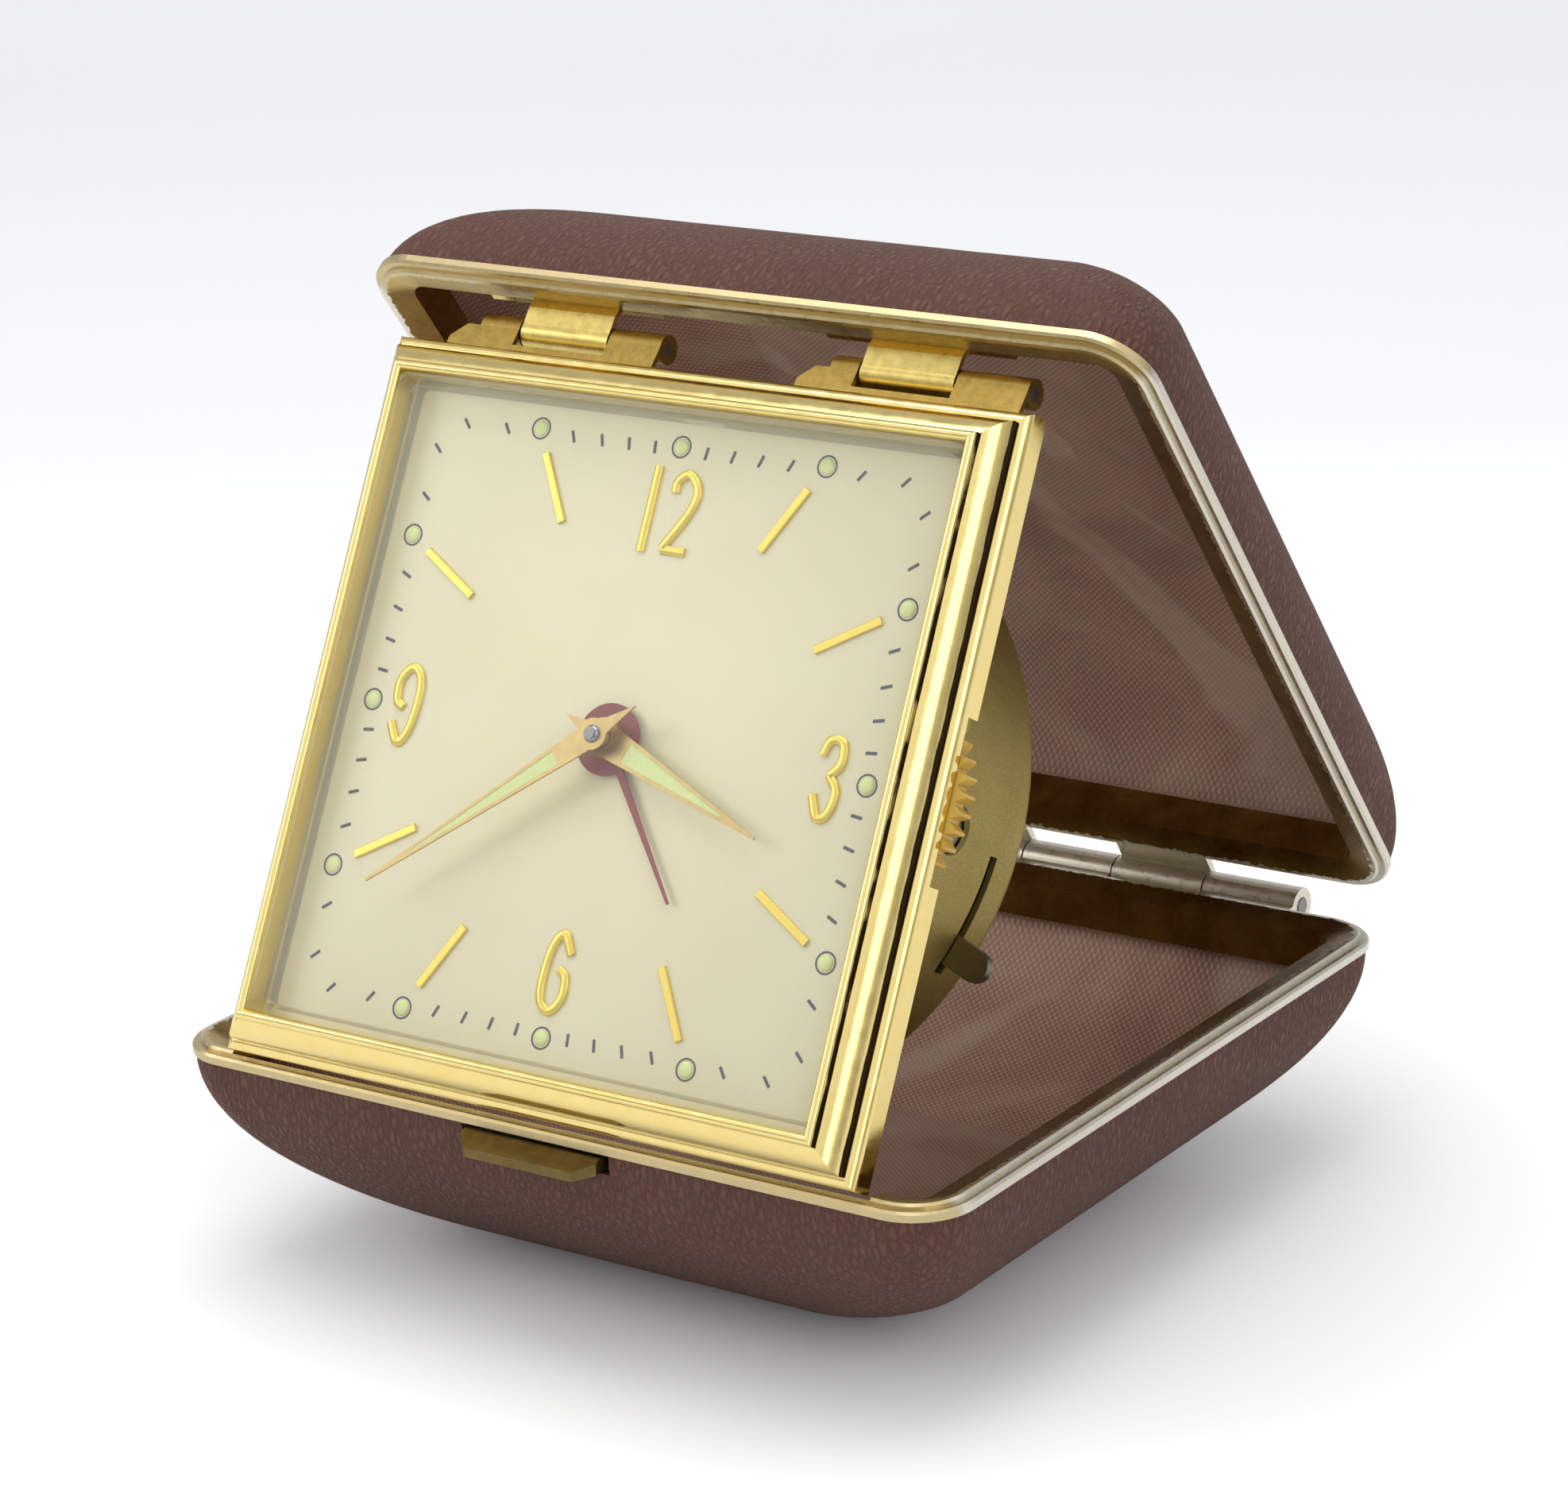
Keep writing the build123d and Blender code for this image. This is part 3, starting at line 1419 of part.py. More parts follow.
tip_middle = lever_reach - lever_tip_width / 2
lever_points = (
    (0, -lever_width / 2),
    (tip_middle, -lever_tip_width / 2),
    (tip_middle, lever_tip_width / 2),
    (0, lever_width / 2),
)
with BuildPart() as stop_lever:
    with BuildSketch(layer(lever_depth + lever_sheet)):
        with BuildLine():
            Polyline(*placed(lever_points, centre, lever_angle), close=True)
        make_face()
        with Locations(polar(tip_middle, lever_angle)):
            Circle(lever_tip_width / 2)
        Circle(lever_hub_radius)
        Circle(lever_boss_radius + running_gap, mode=Mode.SUBTRACT)
    extrude(amount=lever_sheet)
finish(stop_lever.part, "stop_lever")

arm_end = polar(regulator_reach, regulator_angle)
arm_tip = (balance_centre[0] + arm_end[0], balance_centre[1] + arm_end[1])
arm_middle = (balance_centre[0] + arm_end[0] / 2, balance_centre[1] + arm_end[1] / 2)
with BuildPart() as regulator_arm:
    with BuildSketch(layer(regulator_depth + regulator_sheet)) as arm_outline:
        with Locations(balance_centre):
            Circle(2 * balance_rim)
        with Locations(Location((arm_middle[0], arm_middle[1], 0), (0, 0, regulator_angle))):
            Rectangle(regulator_reach, regulator_width)
        with Locations(arm_tip):
            Circle(regulator_width / 2)
        with Locations(balance_centre):
            Circle(hammer_staff_radius + running_gap, mode=Mode.SUBTRACT)
    extrude(amount=regulator_sheet)
    with BuildSketch(layer(wall_back + regulator_tip_rise)) as tip_outline:
        with Locations(arm_tip):
            Circle(regulator_width / 2)
    extrude(amount=wall_back + regulator_tip_rise - regulator_depth)
finish(regulator_arm.part, "regulator_arm")
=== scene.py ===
import math

import bmesh
import bpy
from mathutils import Matrix, Vector


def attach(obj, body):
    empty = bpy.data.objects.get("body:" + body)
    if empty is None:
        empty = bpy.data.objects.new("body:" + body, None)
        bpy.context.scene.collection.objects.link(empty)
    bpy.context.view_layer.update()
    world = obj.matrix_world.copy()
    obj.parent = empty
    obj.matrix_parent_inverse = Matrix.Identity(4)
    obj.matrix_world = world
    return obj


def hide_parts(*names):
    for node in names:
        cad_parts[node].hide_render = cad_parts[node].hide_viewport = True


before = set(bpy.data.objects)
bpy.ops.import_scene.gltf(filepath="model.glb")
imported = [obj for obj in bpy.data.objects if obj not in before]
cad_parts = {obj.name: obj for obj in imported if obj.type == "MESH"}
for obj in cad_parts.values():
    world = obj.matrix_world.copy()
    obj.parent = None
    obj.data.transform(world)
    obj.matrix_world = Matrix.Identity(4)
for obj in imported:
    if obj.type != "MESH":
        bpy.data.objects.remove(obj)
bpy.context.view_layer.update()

# Camera
# The photograph is taken from the front right, a little above, through a long lens, so the case
# shows almost no perspective. The camera leans by two degrees, as the photograph does.
view_azimuth = math.radians(34.74)
view_elevation = math.radians(17.794)
view_roll = math.radians(-2.195)
view_target = Vector((0.001593, -0.001833, 0.041817))
view_distance = 0.405179
focal_length = 112.0
sensor_width = 36.0

back_way = Vector(
    (
        math.sin(view_azimuth) * math.cos(view_elevation),
        -math.cos(view_azimuth) * math.cos(view_elevation),
        math.sin(view_elevation),
    )
)
level_right = Vector((math.cos(view_azimuth), math.sin(view_azimuth), 0.0))
level_up = back_way.cross(level_right)
right_way = level_right * math.cos(view_roll) + level_up * math.sin(view_roll)
up_way = level_up * math.cos(view_roll) - level_right * math.sin(view_roll)
lens_place = view_target + back_way * view_distance

lens = bpy.data.cameras.new("photo_lens")
lens.sensor_fit = "HORIZONTAL"
lens.sensor_width = sensor_width
lens.lens = focal_length
lens.clip_start = 0.01
lens.clip_end = 20.0
camera = bpy.data.objects.new("photo_camera", lens)
camera.matrix_world = Matrix(
    (
        (right_way.x, up_way.x, back_way.x, lens_place.x),
        (right_way.y, up_way.y, back_way.y, lens_place.y),
        (right_way.z, up_way.z, back_way.z, lens_place.z),
        (0.0, 0.0, 0.0, 1.0),
    )
)
bpy.context.scene.collection.objects.link(camera)
bpy.context.scene.camera = camera
bpy.context.scene.view_settings.view_transform = "Standard"


# Tabletop and light tent
# A sheet of white paper runs under the clock and up behind it, inside a white light tent with one
# soft lamp above, a weaker one at the left and a weak one at the right. The tent is greyer near the
# table, and that is what draws the lines in the polished brass.
def linear(hex_colour):
    """An sRGB hex colour as linear RGBA."""
    channels = []
    for start in (1, 3, 5):
        value = int(hex_colour[start : start + 2], 16) / 255
        channels.append(value / 12.92 if value <= 0.04045 else ((value + 0.055) / 1.055) ** 2.4)
    return (*channels, 1.0)


def add_node(tree, kind, inputs=None, **settings):
    """Adds a shader node; an input that is another node's socket is linked, and any other is set."""
    made = tree.nodes.new("ShaderNode" + kind)
    for name, value in settings.items():
        setattr(made, name, value)
    for name, value in (inputs or {}).items():
        if isinstance(value, bpy.types.NodeSocket):
            tree.links.new(value, made.inputs[name])
        else:
            made.inputs[name].default_value = value
    return made


def new_material(name):
    """An empty material's node tree with its output, ready for a surface."""
    material = bpy.data.materials.new(name)
    material.use_nodes = True
    tree = material.node_tree
    tree.nodes.clear()
    return material, tree, add_node(tree, "OutputMaterial")


paper_floor = "#f7f7f7"
paper_far_shade = "#ebebec"
paper_glow = 1.42
paper_glow_share = 0.35
paper_reach = 1.6
paper_back = 0.55
paper_bend = 0.25
bend_steps = 16
far_shade_start = 0.15
far_shade_end = 0.28
contact_reach = 0.06

paper, tree, output = new_material("white_paper")
path = add_node(tree, "LightPath")
sheet_place = add_node(tree, "SeparateXYZ", {"Vector": add_node(tree, "TexCoord").outputs["Object"]})
# The white paper is painted greyer towards the back: painted shade on the sheet.
far_shade = add_node(
    tree,
    "MapRange",
    {"Value": sheet_place.outputs["Y"], "From Min": far_shade_start, "From Max": far_shade_end},
    interpolation_type="SMOOTHSTEP",
)
paper_and_far_shade_tones = {"Color1": linear(paper_floor), "Color2": linear(paper_far_shade)}
tone = add_node(tree, "MixRGB", {"Fac": far_shade.outputs["Result"], **paper_and_far_shade_tones})
matt = add_node(tree, "BsdfDiffuse", {"Color": tone.outputs[0]})
glow = add_node(tree, "Emission", {"Color": tone.outputs[0], "Strength": paper_glow})
seen = add_node(tree, "Math", {0: path.outputs["Is Camera Ray"], 1: paper_glow_share}, operation="MULTIPLY")
# The glow fades out under the case, so that the contact shadow stays dark.
open_air = add_node(tree, "AmbientOcclusion", {"Distance": contact_reach})
share = add_node(tree, "Math", {0: seen.outputs[0], 1: open_air.outputs["AO"]}, operation="MULTIPLY")
blend = add_node(tree, "MixShader", {"Fac": share.outputs[0], 1: matt.outputs[0], 2: glow.outputs[0]})
tree.links.new(blend.outputs[0], output.inputs["Surface"])

sheet_mesh = bpy.data.meshes.new("paper_sheet")
builder = bmesh.new()
profile = [(-paper_reach, 0.0), (paper_back, 0.0)]
for step in range(1, bend_steps + 1):
    turn = math.pi / 2 * step / bend_steps
    profile.append((paper_back + paper_bend * math.sin(turn), paper_bend * (1 - math.cos(turn))))
profile.append((paper_back + paper_bend, paper_reach))
rows = []
for y, z in profile:
    rows.append([builder.verts.new((side * 2 * paper_reach, y, z)) for side in (-1, 1)])
for low, high in zip(rows, rows[1:]):
    builder.faces.new((low[0], low[1], high[1], high[0]))
builder.to_mesh(sheet_mesh)
builder.free()
sheet_mesh.shade_smooth()
paper_sheet = bpy.data.objects.new("paper_sheet", sheet_mesh)
sheet_mesh.materials.append(paper)
turn_to_camera = Matrix.Rotation(view_azimuth, 4, "Z")
paper_sheet.matrix_world = turn_to_camera
bpy.context.scene.collection.objects.link(paper_sheet)


def soft_lamp(name, place, target, size, watts):
    """A square soft box that faces its target."""
    lamp = bpy.data.lights.new(name, "AREA")
    lamp.shape = "SQUARE"
    lamp.size = size
    lamp.energy = watts
    holder = bpy.data.objects.new(name, lamp)
    way = Vector(target) - Vector(place)
    holder.matrix_world = Matrix.Translation(place) @ way.to_track_quat("-Z", "Y").to_matrix().to_4x4()
    bpy.context.scene.collection.objects.link(holder)


soft_lamp("overhead_box", (-0.05, 0.02, 0.62), (0.0, 0.0, 0.04), 0.5, 2.1)
soft_lamp("left_box", (-0.55, -0.35, 0.35), (0.0, 0.0, 0.05), 0.35, 0.9)
soft_lamp("right_box", (0.62, -0.3, 0.36), (0.0, 0.0, 0.05), 0.4, 0.8)

tent_low = "#8f8f8c"
tent_high = "#ffffff"
tent_even = "#eef0f4"
tent_seen = "#f1f1f3"
even_strength = 0.66
low_height = -0.1
high_height = 0.7
white_from = 0.75

tent = bpy.data.worlds.new("light_tent")
bpy.context.scene.world = tent
tent.use_nodes = True
tree = tent.node_tree
tree.nodes.clear()
output = add_node(tree, "OutputWorld")
path = add_node(tree, "LightPath")
ray = add_node(tree, "TexCoord")
way = add_node(tree, "SeparateXYZ", {"Vector": ray.outputs["Generated"]})
height_range = {"From Min": low_height, "From Max": high_height}
height = add_node(tree, "MapRange", {"Value": way.outputs["Z"], **height_range})
shade = add_node(tree, "ValToRGB", {"Fac": height.outputs["Result"]})
shade.color_ramp.elements[0].position = 0.0
shade.color_ramp.elements[0].color = linear(tent_low)
shade.color_ramp.elements[1].position = white_from
shade.color_ramp.elements[1].color = linear(tent_high)
mirror_light = add_node(tree, "Background", {"Color": shade.outputs["Color"], "Strength": 1.0})
even_light = add_node(tree, "Background", {"Color": linear(tent_even), "Strength": even_strength})
backdrop = add_node(tree, "Background", {"Color": linear(tent_seen), "Strength": 1.0})
glossy_ray = path.outputs["Is Glossy Ray"]
mirror_mix = {"Fac": glossy_ray, 1: even_light.outputs[0], 2: mirror_light.outputs[0]}
mirrored = add_node(tree, "MixShader", mirror_mix)
seen_rays = {0: path.outputs["Is Camera Ray"], 1: path.outputs["Is Transmission Ray"]}
direct = add_node(tree, "Math", seen_rays, operation="MAXIMUM")
seen_mix = {"Fac": direct.outputs[0], 1: mirrored.outputs[0], 2: backdrop.outputs[0]}
seen = add_node(tree, "MixShader", seen_mix)
tree.links.new(seen.outputs[0], output.inputs["Surface"])


# Leather on the case
# Thin reddish-brown leather, embossed with a small round pebble grain and stretched over the
# pressed shell with glue. It is glossier on the pebbles than in the creases.
smooth_limit = math.radians(32)


def dress(material, *names):
    """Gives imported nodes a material, and shades their curved faces smooth."""
    for name in names:
        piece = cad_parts[name]
        if not piece.material_slots:
            piece.data.materials.append(material)
        for held in piece.material_slots:
            held.material = material
        piece.data.shade_smooth()
        piece.data.set_sharp_from_angle(angle=smooth_limit)


lid_opening = math.radians(52.8235)
lid_front_way = Vector((0.0, -math.cos(lid_opening), math.sin(lid_opening)))
lid_dome_way = Vector((0.0, math.sin(lid_opening), math.cos(lid_opening)))
pebble_size = 0.0006
pebble_depth = 0.0003
side_stretch = 0.6
grain_drift = 0.6
fine_share = 0.3
pebble_round = 0.5
crease_shade_height = 0.4
crease_shade_share = 0.8
# Here and below a pattern's scale is in cells per metre, so this one has patches of 17 mm.
hide_scale = 60.0
crease_roughness = 0.72
pebble_roughness = 0.46
leather_shine = 0.3
leather_top = "#6f4b3e"
leather_shade = "#5b3c31"
leather_crease_shade = "#3c241b"


def pebbled_leather(name, outward):
    """Case leather whose grain was drawn long down the sides, along the outward way."""
    material, tree, output = new_material(name)
    place = add_node(tree, "TexCoord").outputs["Object"]
    level = add_node(tree, "VectorMath", {0: place, 1: outward}, operation="DOT_PRODUCT")
    pull = add_node(tree, "Math", {0: level.outputs["Value"], 1: side_stretch}, operation="MULTIPLY")
    drawn = add_node(tree, "VectorMath", {0: outward, "Scale": pull.outputs[0]}, operation="SCALE")
    undrawn = add_node(tree, "VectorMath", {0: place, 1: drawn.outputs[0]}, operation="SUBTRACT")
    flat_place = undrawn.outputs[0]
    drift = add_node(tree, "TexNoise", {"Vector": flat_place, "Scale": 0.5 / pebble_size, "Detail": 2.0})
    shift_parts = {0: drift.outputs["Color"], "Scale": pebble_size * grain_drift}
    shift = add_node(tree, "VectorMath", shift_parts, operation="SCALE")
    shifted = add_node(tree, "VectorMath", {0: flat_place, 1: shift.outputs[0]}, operation="ADD")
    grain_place = shifted.outputs[0]
    pebble_cells = {"Vector": grain_place, "Scale": 1 / pebble_size}
    cells = add_node(tree, "TexVoronoi", pebble_cells, feature="DISTANCE_TO_EDGE")
    pebble = add_node(
        tree,
        "MapRange",
        {"Value": cells.outputs["Distance"], "From Min": 0.0, "From Max": pebble_round},
        interpolation_type="SMOOTHSTEP",
    )
    fine = add_node(tree, "TexNoise", {"Vector": grain_place, "Scale": 3 / pebble_size, "Detail": 3.0})
    fine_part = add_node(tree, "Math", {0: fine.outputs["Fac"], 1: fine_share}, operation="MULTIPLY")
    relief = add_node(tree, "Math", {0: pebble.outputs["Result"], 1: fine_part.outputs[0]}, operation="ADD")
    patches = add_node(tree, "TexNoise", {"Vector": place, "Scale": hide_scale, "Detail": 4.0})
    hide_colours = {"Color1": linear(leather_shade), "Color2": linear(leather_top)}
    hide = add_node(tree, "MixRGB", {"Fac": patches.outputs["Fac"], **hide_colours})
    # The creases between the pebbles are painted darker: painted shade.
    crease_shade_range = {"From Max": crease_shade_height, "To Min": crease_shade_share, "To Max": 0.0}
    crease_shade = add_node(tree, "MapRange", {"Value": relief.outputs[0], **crease_shade_range})
    skin_and_shade_colours = {"Color1": hide.outputs[0], "Color2": linear(leather_crease_shade)}
    skin_and_crease_shade = add_node(tree, "MixRGB", {"Fac": crease_shade.outputs["Result"], **skin_and_shade_colours})
    gloss_range = {"To Min": crease_roughness, "To Max": pebble_roughness}
    gloss = add_node(tree, "MapRange", {"Value": pebble.outputs["Result"], **gloss_range})
    bump = add_node(tree, "Bump", {"Height": relief.outputs[0], "Distance": pebble_depth, "Strength": 0.9})
    surface = add_node(
        tree,
        "BsdfPrincipled",
        {
            "Base Color": skin_and_crease_shade.outputs[0],
            "Roughness": gloss.outputs["Result"],
            "Normal": bump.outputs[0],
            "Specular IOR Level": leather_shine,
        },
    )
    tree.links.new(surface.outputs[0], output.inputs["Surface"])
    return material


dress(pebbled_leather("base_case_leather", (0.0, 0.0, 1.0)), "base_leather")
dress(pebbled_leather("lid_case_leather", lid_dome_way), "lid_leather")


# Pressed shells under the leather
# Thin tinned steel, pressed to the dome and rolled in behind the brass rim. Only its edge at the
# catch's notch can be seen.
tin_grey = "#a9a9a6"
tin_gloss = {"To Min": 0.35, "To Max": 0.5}
spangle_scale = 500.0

tinned, tree, output = new_material("tinned_steel")
place = add_node(tree, "TexCoord").outputs["Object"]
spangle = add_node(tree, "TexVoronoi", {"Vector": place, "Scale": spangle_scale})
dull = add_node(tree, "MapRange", {"Value": spangle.outputs["Distance"], **tin_gloss})
surface = add_node(
    tree,
    "BsdfPrincipled",
    {"Base Color": linear(tin_grey), "Metallic": 1.0, "Roughness": dull.outputs["Result"]},
)
tree.links.new(surface.outputs[0], output.inputs["Surface"])
dress(tinned, "base_shell", "lid_shell")


# Lining of both halves
# Mauve-brown ribbed satin, woven fine and pressed on with glue. The ribs run across the case, and the soft
# patches where they catch the light are painted in as lighter colour: painted sheen.
rib_pitch = 0.00062
satin_weave_and_sheen_light = "#e0bca4"
satin_dark = "#94695a"
film_sheen_pale = "#dcc3ae"
painted_sheen_share = 0.4
weave_share = 0.6
weave_depth = 0.00005
cloud_scale = 42.0
film_scale = 24.0
most_film = 0.5
cloth_roughness = 0.6
film_roughness = 0.36


def ribbed_satin(name, thread_way):
    """The lining's cloth, whose threads cross thread_way."""
    material, tree, output = new_material(name)
    place = add_node(tree, "TexCoord").outputs["Object"]
    waves = []
    for way, pitch in (((1.0, 0.0, 0.0), rib_pitch), (thread_way, rib_pitch * 0.8)):
        along = add_node(tree, "VectorMath", {0: place, 1: way}, operation="DOT_PRODUCT")
        turn_parts = {0: along.outputs["Value"], 1: math.tau / pitch}
        turns = add_node(tree, "Math", turn_parts, operation="MULTIPLY")
        waves.append(add_node(tree, "Math", {0: turns.outputs[0]}, operation="SINE").outputs[0])
    product = add_node(tree, "Math", {0: waves[0], 1: waves[1]}, operation="MULTIPLY")
    weave = add_node(tree, "MapRange", {"Value": product.outputs[0], "From Min": -0.35, "From Max": 0.95})
    clouds = {"Vector": place, "Scale": cloud_scale, "Detail": 3.0, "Distortion": 1.2}
    # Soft cloudy patches are painted lighter: painted sheen on the satin.
    patches = add_node(tree, "TexNoise", clouds)
    painted_sheen = add_node(tree, "MapRange", {"Value": patches.outputs["Fac"], "From Min": 0.35, "From Max": 0.65})
    painted_sheen_part = add_node(tree, "Math", {0: painted_sheen.outputs["Result"], 1: painted_sheen_share}, operation="MULTIPLY")
    weave_part = add_node(tree, "Math", {0: weave.outputs["Result"], 1: weave_share}, operation="MULTIPLY")
    shade_parts = {0: painted_sheen_part.outputs[0], 1: weave_part.outputs[0]}
    shade = add_node(tree, "Math", shade_parts, operation="ADD")
    cloth_colours = {"Color1": linear(satin_dark), "Color2": linear(satin_weave_and_sheen_light)}
    cloth = add_node(tree, "MixRGB", {"Fac": shade.outputs[0], **cloth_colours})
    # Glossy film patches are smoother, and their sheen is painted in as a paler colour over the weave.
    film_look = {"Scale": film_scale, "Detail": 2.0, "Distortion": 2.5}
    film_patches = add_node(tree, "TexNoise", {"Vector": place, **film_look})
    film_range = {"From Min": 0.57, "From Max": 0.64, "To Max": most_film}
    film_mask = add_node(tree, "MapRange", {"Value": film_patches.outputs["Fac"], **film_range})
    cloth_and_film_sheen_colours = {"Color1": cloth.outputs[0], "Color2": linear(film_sheen_pale)}
    cloth_and_film_sheen = add_node(tree, "MixRGB", {"Fac": film_mask.outputs["Result"], **cloth_and_film_sheen_colours})
    gloss_range = {"From Max": most_film, "To Min": cloth_roughness, "To Max": film_roughness}
    gloss = add_node(tree, "MapRange", {"Value": film_mask.outputs["Result"], **gloss_range})
    weave_relief = {"Height": weave.outputs["Result"], "Distance": weave_depth, "Strength": 0.6}
    bump = add_node(tree, "Bump", weave_relief)
    surface = add_node(
        tree,
        "BsdfPrincipled",
        {
            "Base Color": cloth_and_film_sheen.outputs[0],
            "Roughness": gloss.outputs["Result"],
            "Normal": bump.outputs[0],
            "Sheen Weight": 0.4,
            "Sheen Roughness": 0.4,
        },
    )
    tree.links.new(surface.outputs[0], output.inputs["Surface"])
    return material


dress(ribbed_satin("base_satin", (0.0, 1.0, 0.0)), "base_lining")
dress(ribbed_satin("lid_satin", lid_front_way), "lid_lining")


# Brass rims and their knuckles
# Thin brass strip, rolled to a lip and a flange, lacquered gold and long handled: silvery along the lip,
# partly where hands rub it and partly as a painted highlight, brown in the flange, and still gold along the
# front stretch.
rim_gold = "#cdb468"
rim_tarnish = "#6e4f20"
rim_worn_and_highlight = "#e2dccb"
case_half_width = 0.038
case_half_depth = 0.0366
case_corner = 0.0052
ridge_end = 0.0013
front_stretch = 0.0042
front_fade = 0.001
edge_fade = 0.0001
rub_scale = 1400.0
rub_wander = 0.0003
rub_depth = 0.00003
stain_scale = 170.0
wear_and_highlight_beside = 0.92
wear_and_highlight_in_front = 0.3
brown_in_front = 0.3
hinge_axis = Vector((0.0, 0.0393, 0.019))
axis_to_middle = 0.0393
axis_to_mouth = 0.001
base_mouth = Vector((0.0, 0.0, 0.020))
lid_mouth = hinge_axis + lid_front_way * axis_to_middle + lid_dome_way * axis_to_mouth


def worn_brass(name, mouth, front_way):
    """Rim brass of a case half, by the middle of its mouth and the way from there to its front."""
    material, tree, output = new_material(name)
    place = add_node(tree, "TexCoord").outputs["Object"]
    from_mouth = add_node(tree, "VectorMath", {0: place, 1: mouth}, operation="SUBTRACT")
    across = add_node(tree, "SeparateXYZ", {"Vector": from_mouth.outputs[0]})
    along = add_node(tree, "VectorMath", {0: from_mouth.outputs[0], 1: front_way}, operation="DOT_PRODUCT")
    flat = add_node(tree, "CombineXYZ", {"X": across.outputs["X"], "Y": along.outputs["Value"]})
    mirrored = add_node(tree, "VectorMath", {0: flat.outputs[0]}, operation="ABSOLUTE")
    straights = (case_half_width - case_corner, case_half_depth - case_corner, 0.0)
    past = add_node(tree, "VectorMath", {0: mirrored.outputs[0], 1: straights}, operation="SUBTRACT")
    outside = add_node(tree, "VectorMath", {0: past.outputs[0], 1: (0.0, 0.0, 0.0)}, operation="MAXIMUM")
    reach = add_node(tree, "VectorMath", {0: outside.outputs[0]}, operation="LENGTH")
    inward = add_node(tree, "Math", {0: case_corner, 1: reach.outputs["Value"]}, operation="SUBTRACT")
    rub_look = {"Scale": rub_scale, "Detail": 5.0, "Roughness": 0.65}
    rubbing = add_node(tree, "TexNoise", {"Vector": place, **rub_look})
    wander_range = {"From Min": 0.3, "From Max": 0.7, "To Min": -rub_wander, "To Max": rub_wander}
    wander = add_node(tree, "MapRange", {"Value": rubbing.outputs["Fac"], **wander_range})
    edge = add_node(tree, "Math", {0: inward.outputs[0], 1: wander.outputs["Result"]}, operation="ADD")
    # The silver along the lip is partly wear and partly a painted highlight; it is fainter along the front
    # stretch.
    ridge_edge = {"From Min": ridge_end, "From Max": ridge_end + edge_fade, "To Min": 1.0, "To Max": 0.0}
    ridge = add_node(tree, "MapRange", {"Value": edge.outputs[0], **ridge_edge})
    front_start = case_half_depth - front_stretch
    front_range = {"From Min": front_start, "From Max": front_start + front_fade}
    front = add_node(tree, "MapRange", {"Value": along.outputs["Value"], **front_range})
    wear_and_highlight_range = {"To Min": wear_and_highlight_beside, "To Max": wear_and_highlight_in_front}
    wear_and_highlight_share = add_node(tree, "MapRange", {"Value": front.outputs["Result"], **wear_and_highlight_range})
    lip_wear_and_highlight_parts = {0: ridge.outputs["Result"], 1: wear_and_highlight_share.outputs["Result"]}
    lip_wear_and_highlight = add_node(tree, "Math", lip_wear_and_highlight_parts, operation="MULTIPLY")
    stain_look = {"Scale": stain_scale, "Detail": 6.0, "Roughness": 0.6}
    stains = add_node(tree, "TexNoise", {"Vector": place, **stain_look})
    stain_range = {"From Min": 0.3, "From Max": 0.65, "To Min": 0.72, "To Max": 1.0}
    stained = add_node(tree, "MapRange", {"Value": stains.outputs["Fac"], **stain_range})
    saved_range = {"To Min": 1.0, "To Max": brown_in_front}
    saved = add_node(tree, "MapRange", {"Value": front.outputs["Result"], **saved_range})
    brown_parts = {0: stained.outputs["Result"], 1: saved.outputs["Result"]}
    brown = add_node(tree, "Math", brown_parts, operation="MULTIPLY")
    aged_colours = {"Color1": linear(rim_gold), "Color2": linear(rim_tarnish)}
    aged = add_node(tree, "MixRGB", {"Fac": brown.outputs[0], **aged_colours})
    worn_and_highlight_colours = {"Color1": aged.outputs[0], "Color2": linear(rim_worn_and_highlight)}
    worn_and_highlit = add_node(tree, "MixRGB", {"Fac": lip_wear_and_highlight.outputs[0], **worn_and_highlight_colours})
    dull_range = {"From Min": 0.3, "From Max": 0.7, "To Min": 0.24, "To Max": 0.42}
    dull = add_node(tree, "MapRange", {"Value": rubbing.outputs["Fac"], **dull_range})
    pits = add_node(tree, "Bump", {"Height": rubbing.outputs["Fac"], "Distance": rub_depth, "Strength": 0.3})
    surface = add_node(
        tree,
        "BsdfPrincipled",
        {
            "Base Color": worn_and_highlit.outputs[0],
            "Metallic": 1.0,
            "Roughness": dull.outputs["Result"],
            "Normal": pits.outputs[0],
        },
    )
    tree.links.new(surface.outputs[0], output.inputs["Surface"])
    return material


dress(worn_brass("base_rim_brass", base_mouth, (0.0, -1.0, 0.0)), "base_rim")
dress(worn_brass("lid_rim_brass", lid_mouth, lid_front_way), "lid_rim")


# Steel pins, posts and screws
# Drawn steel wire and small turned parts, bright when new and now grey with age. They hold the
# hinges, carry the wheels and close the drum.
smoother = 0.08
rougher = 0.1


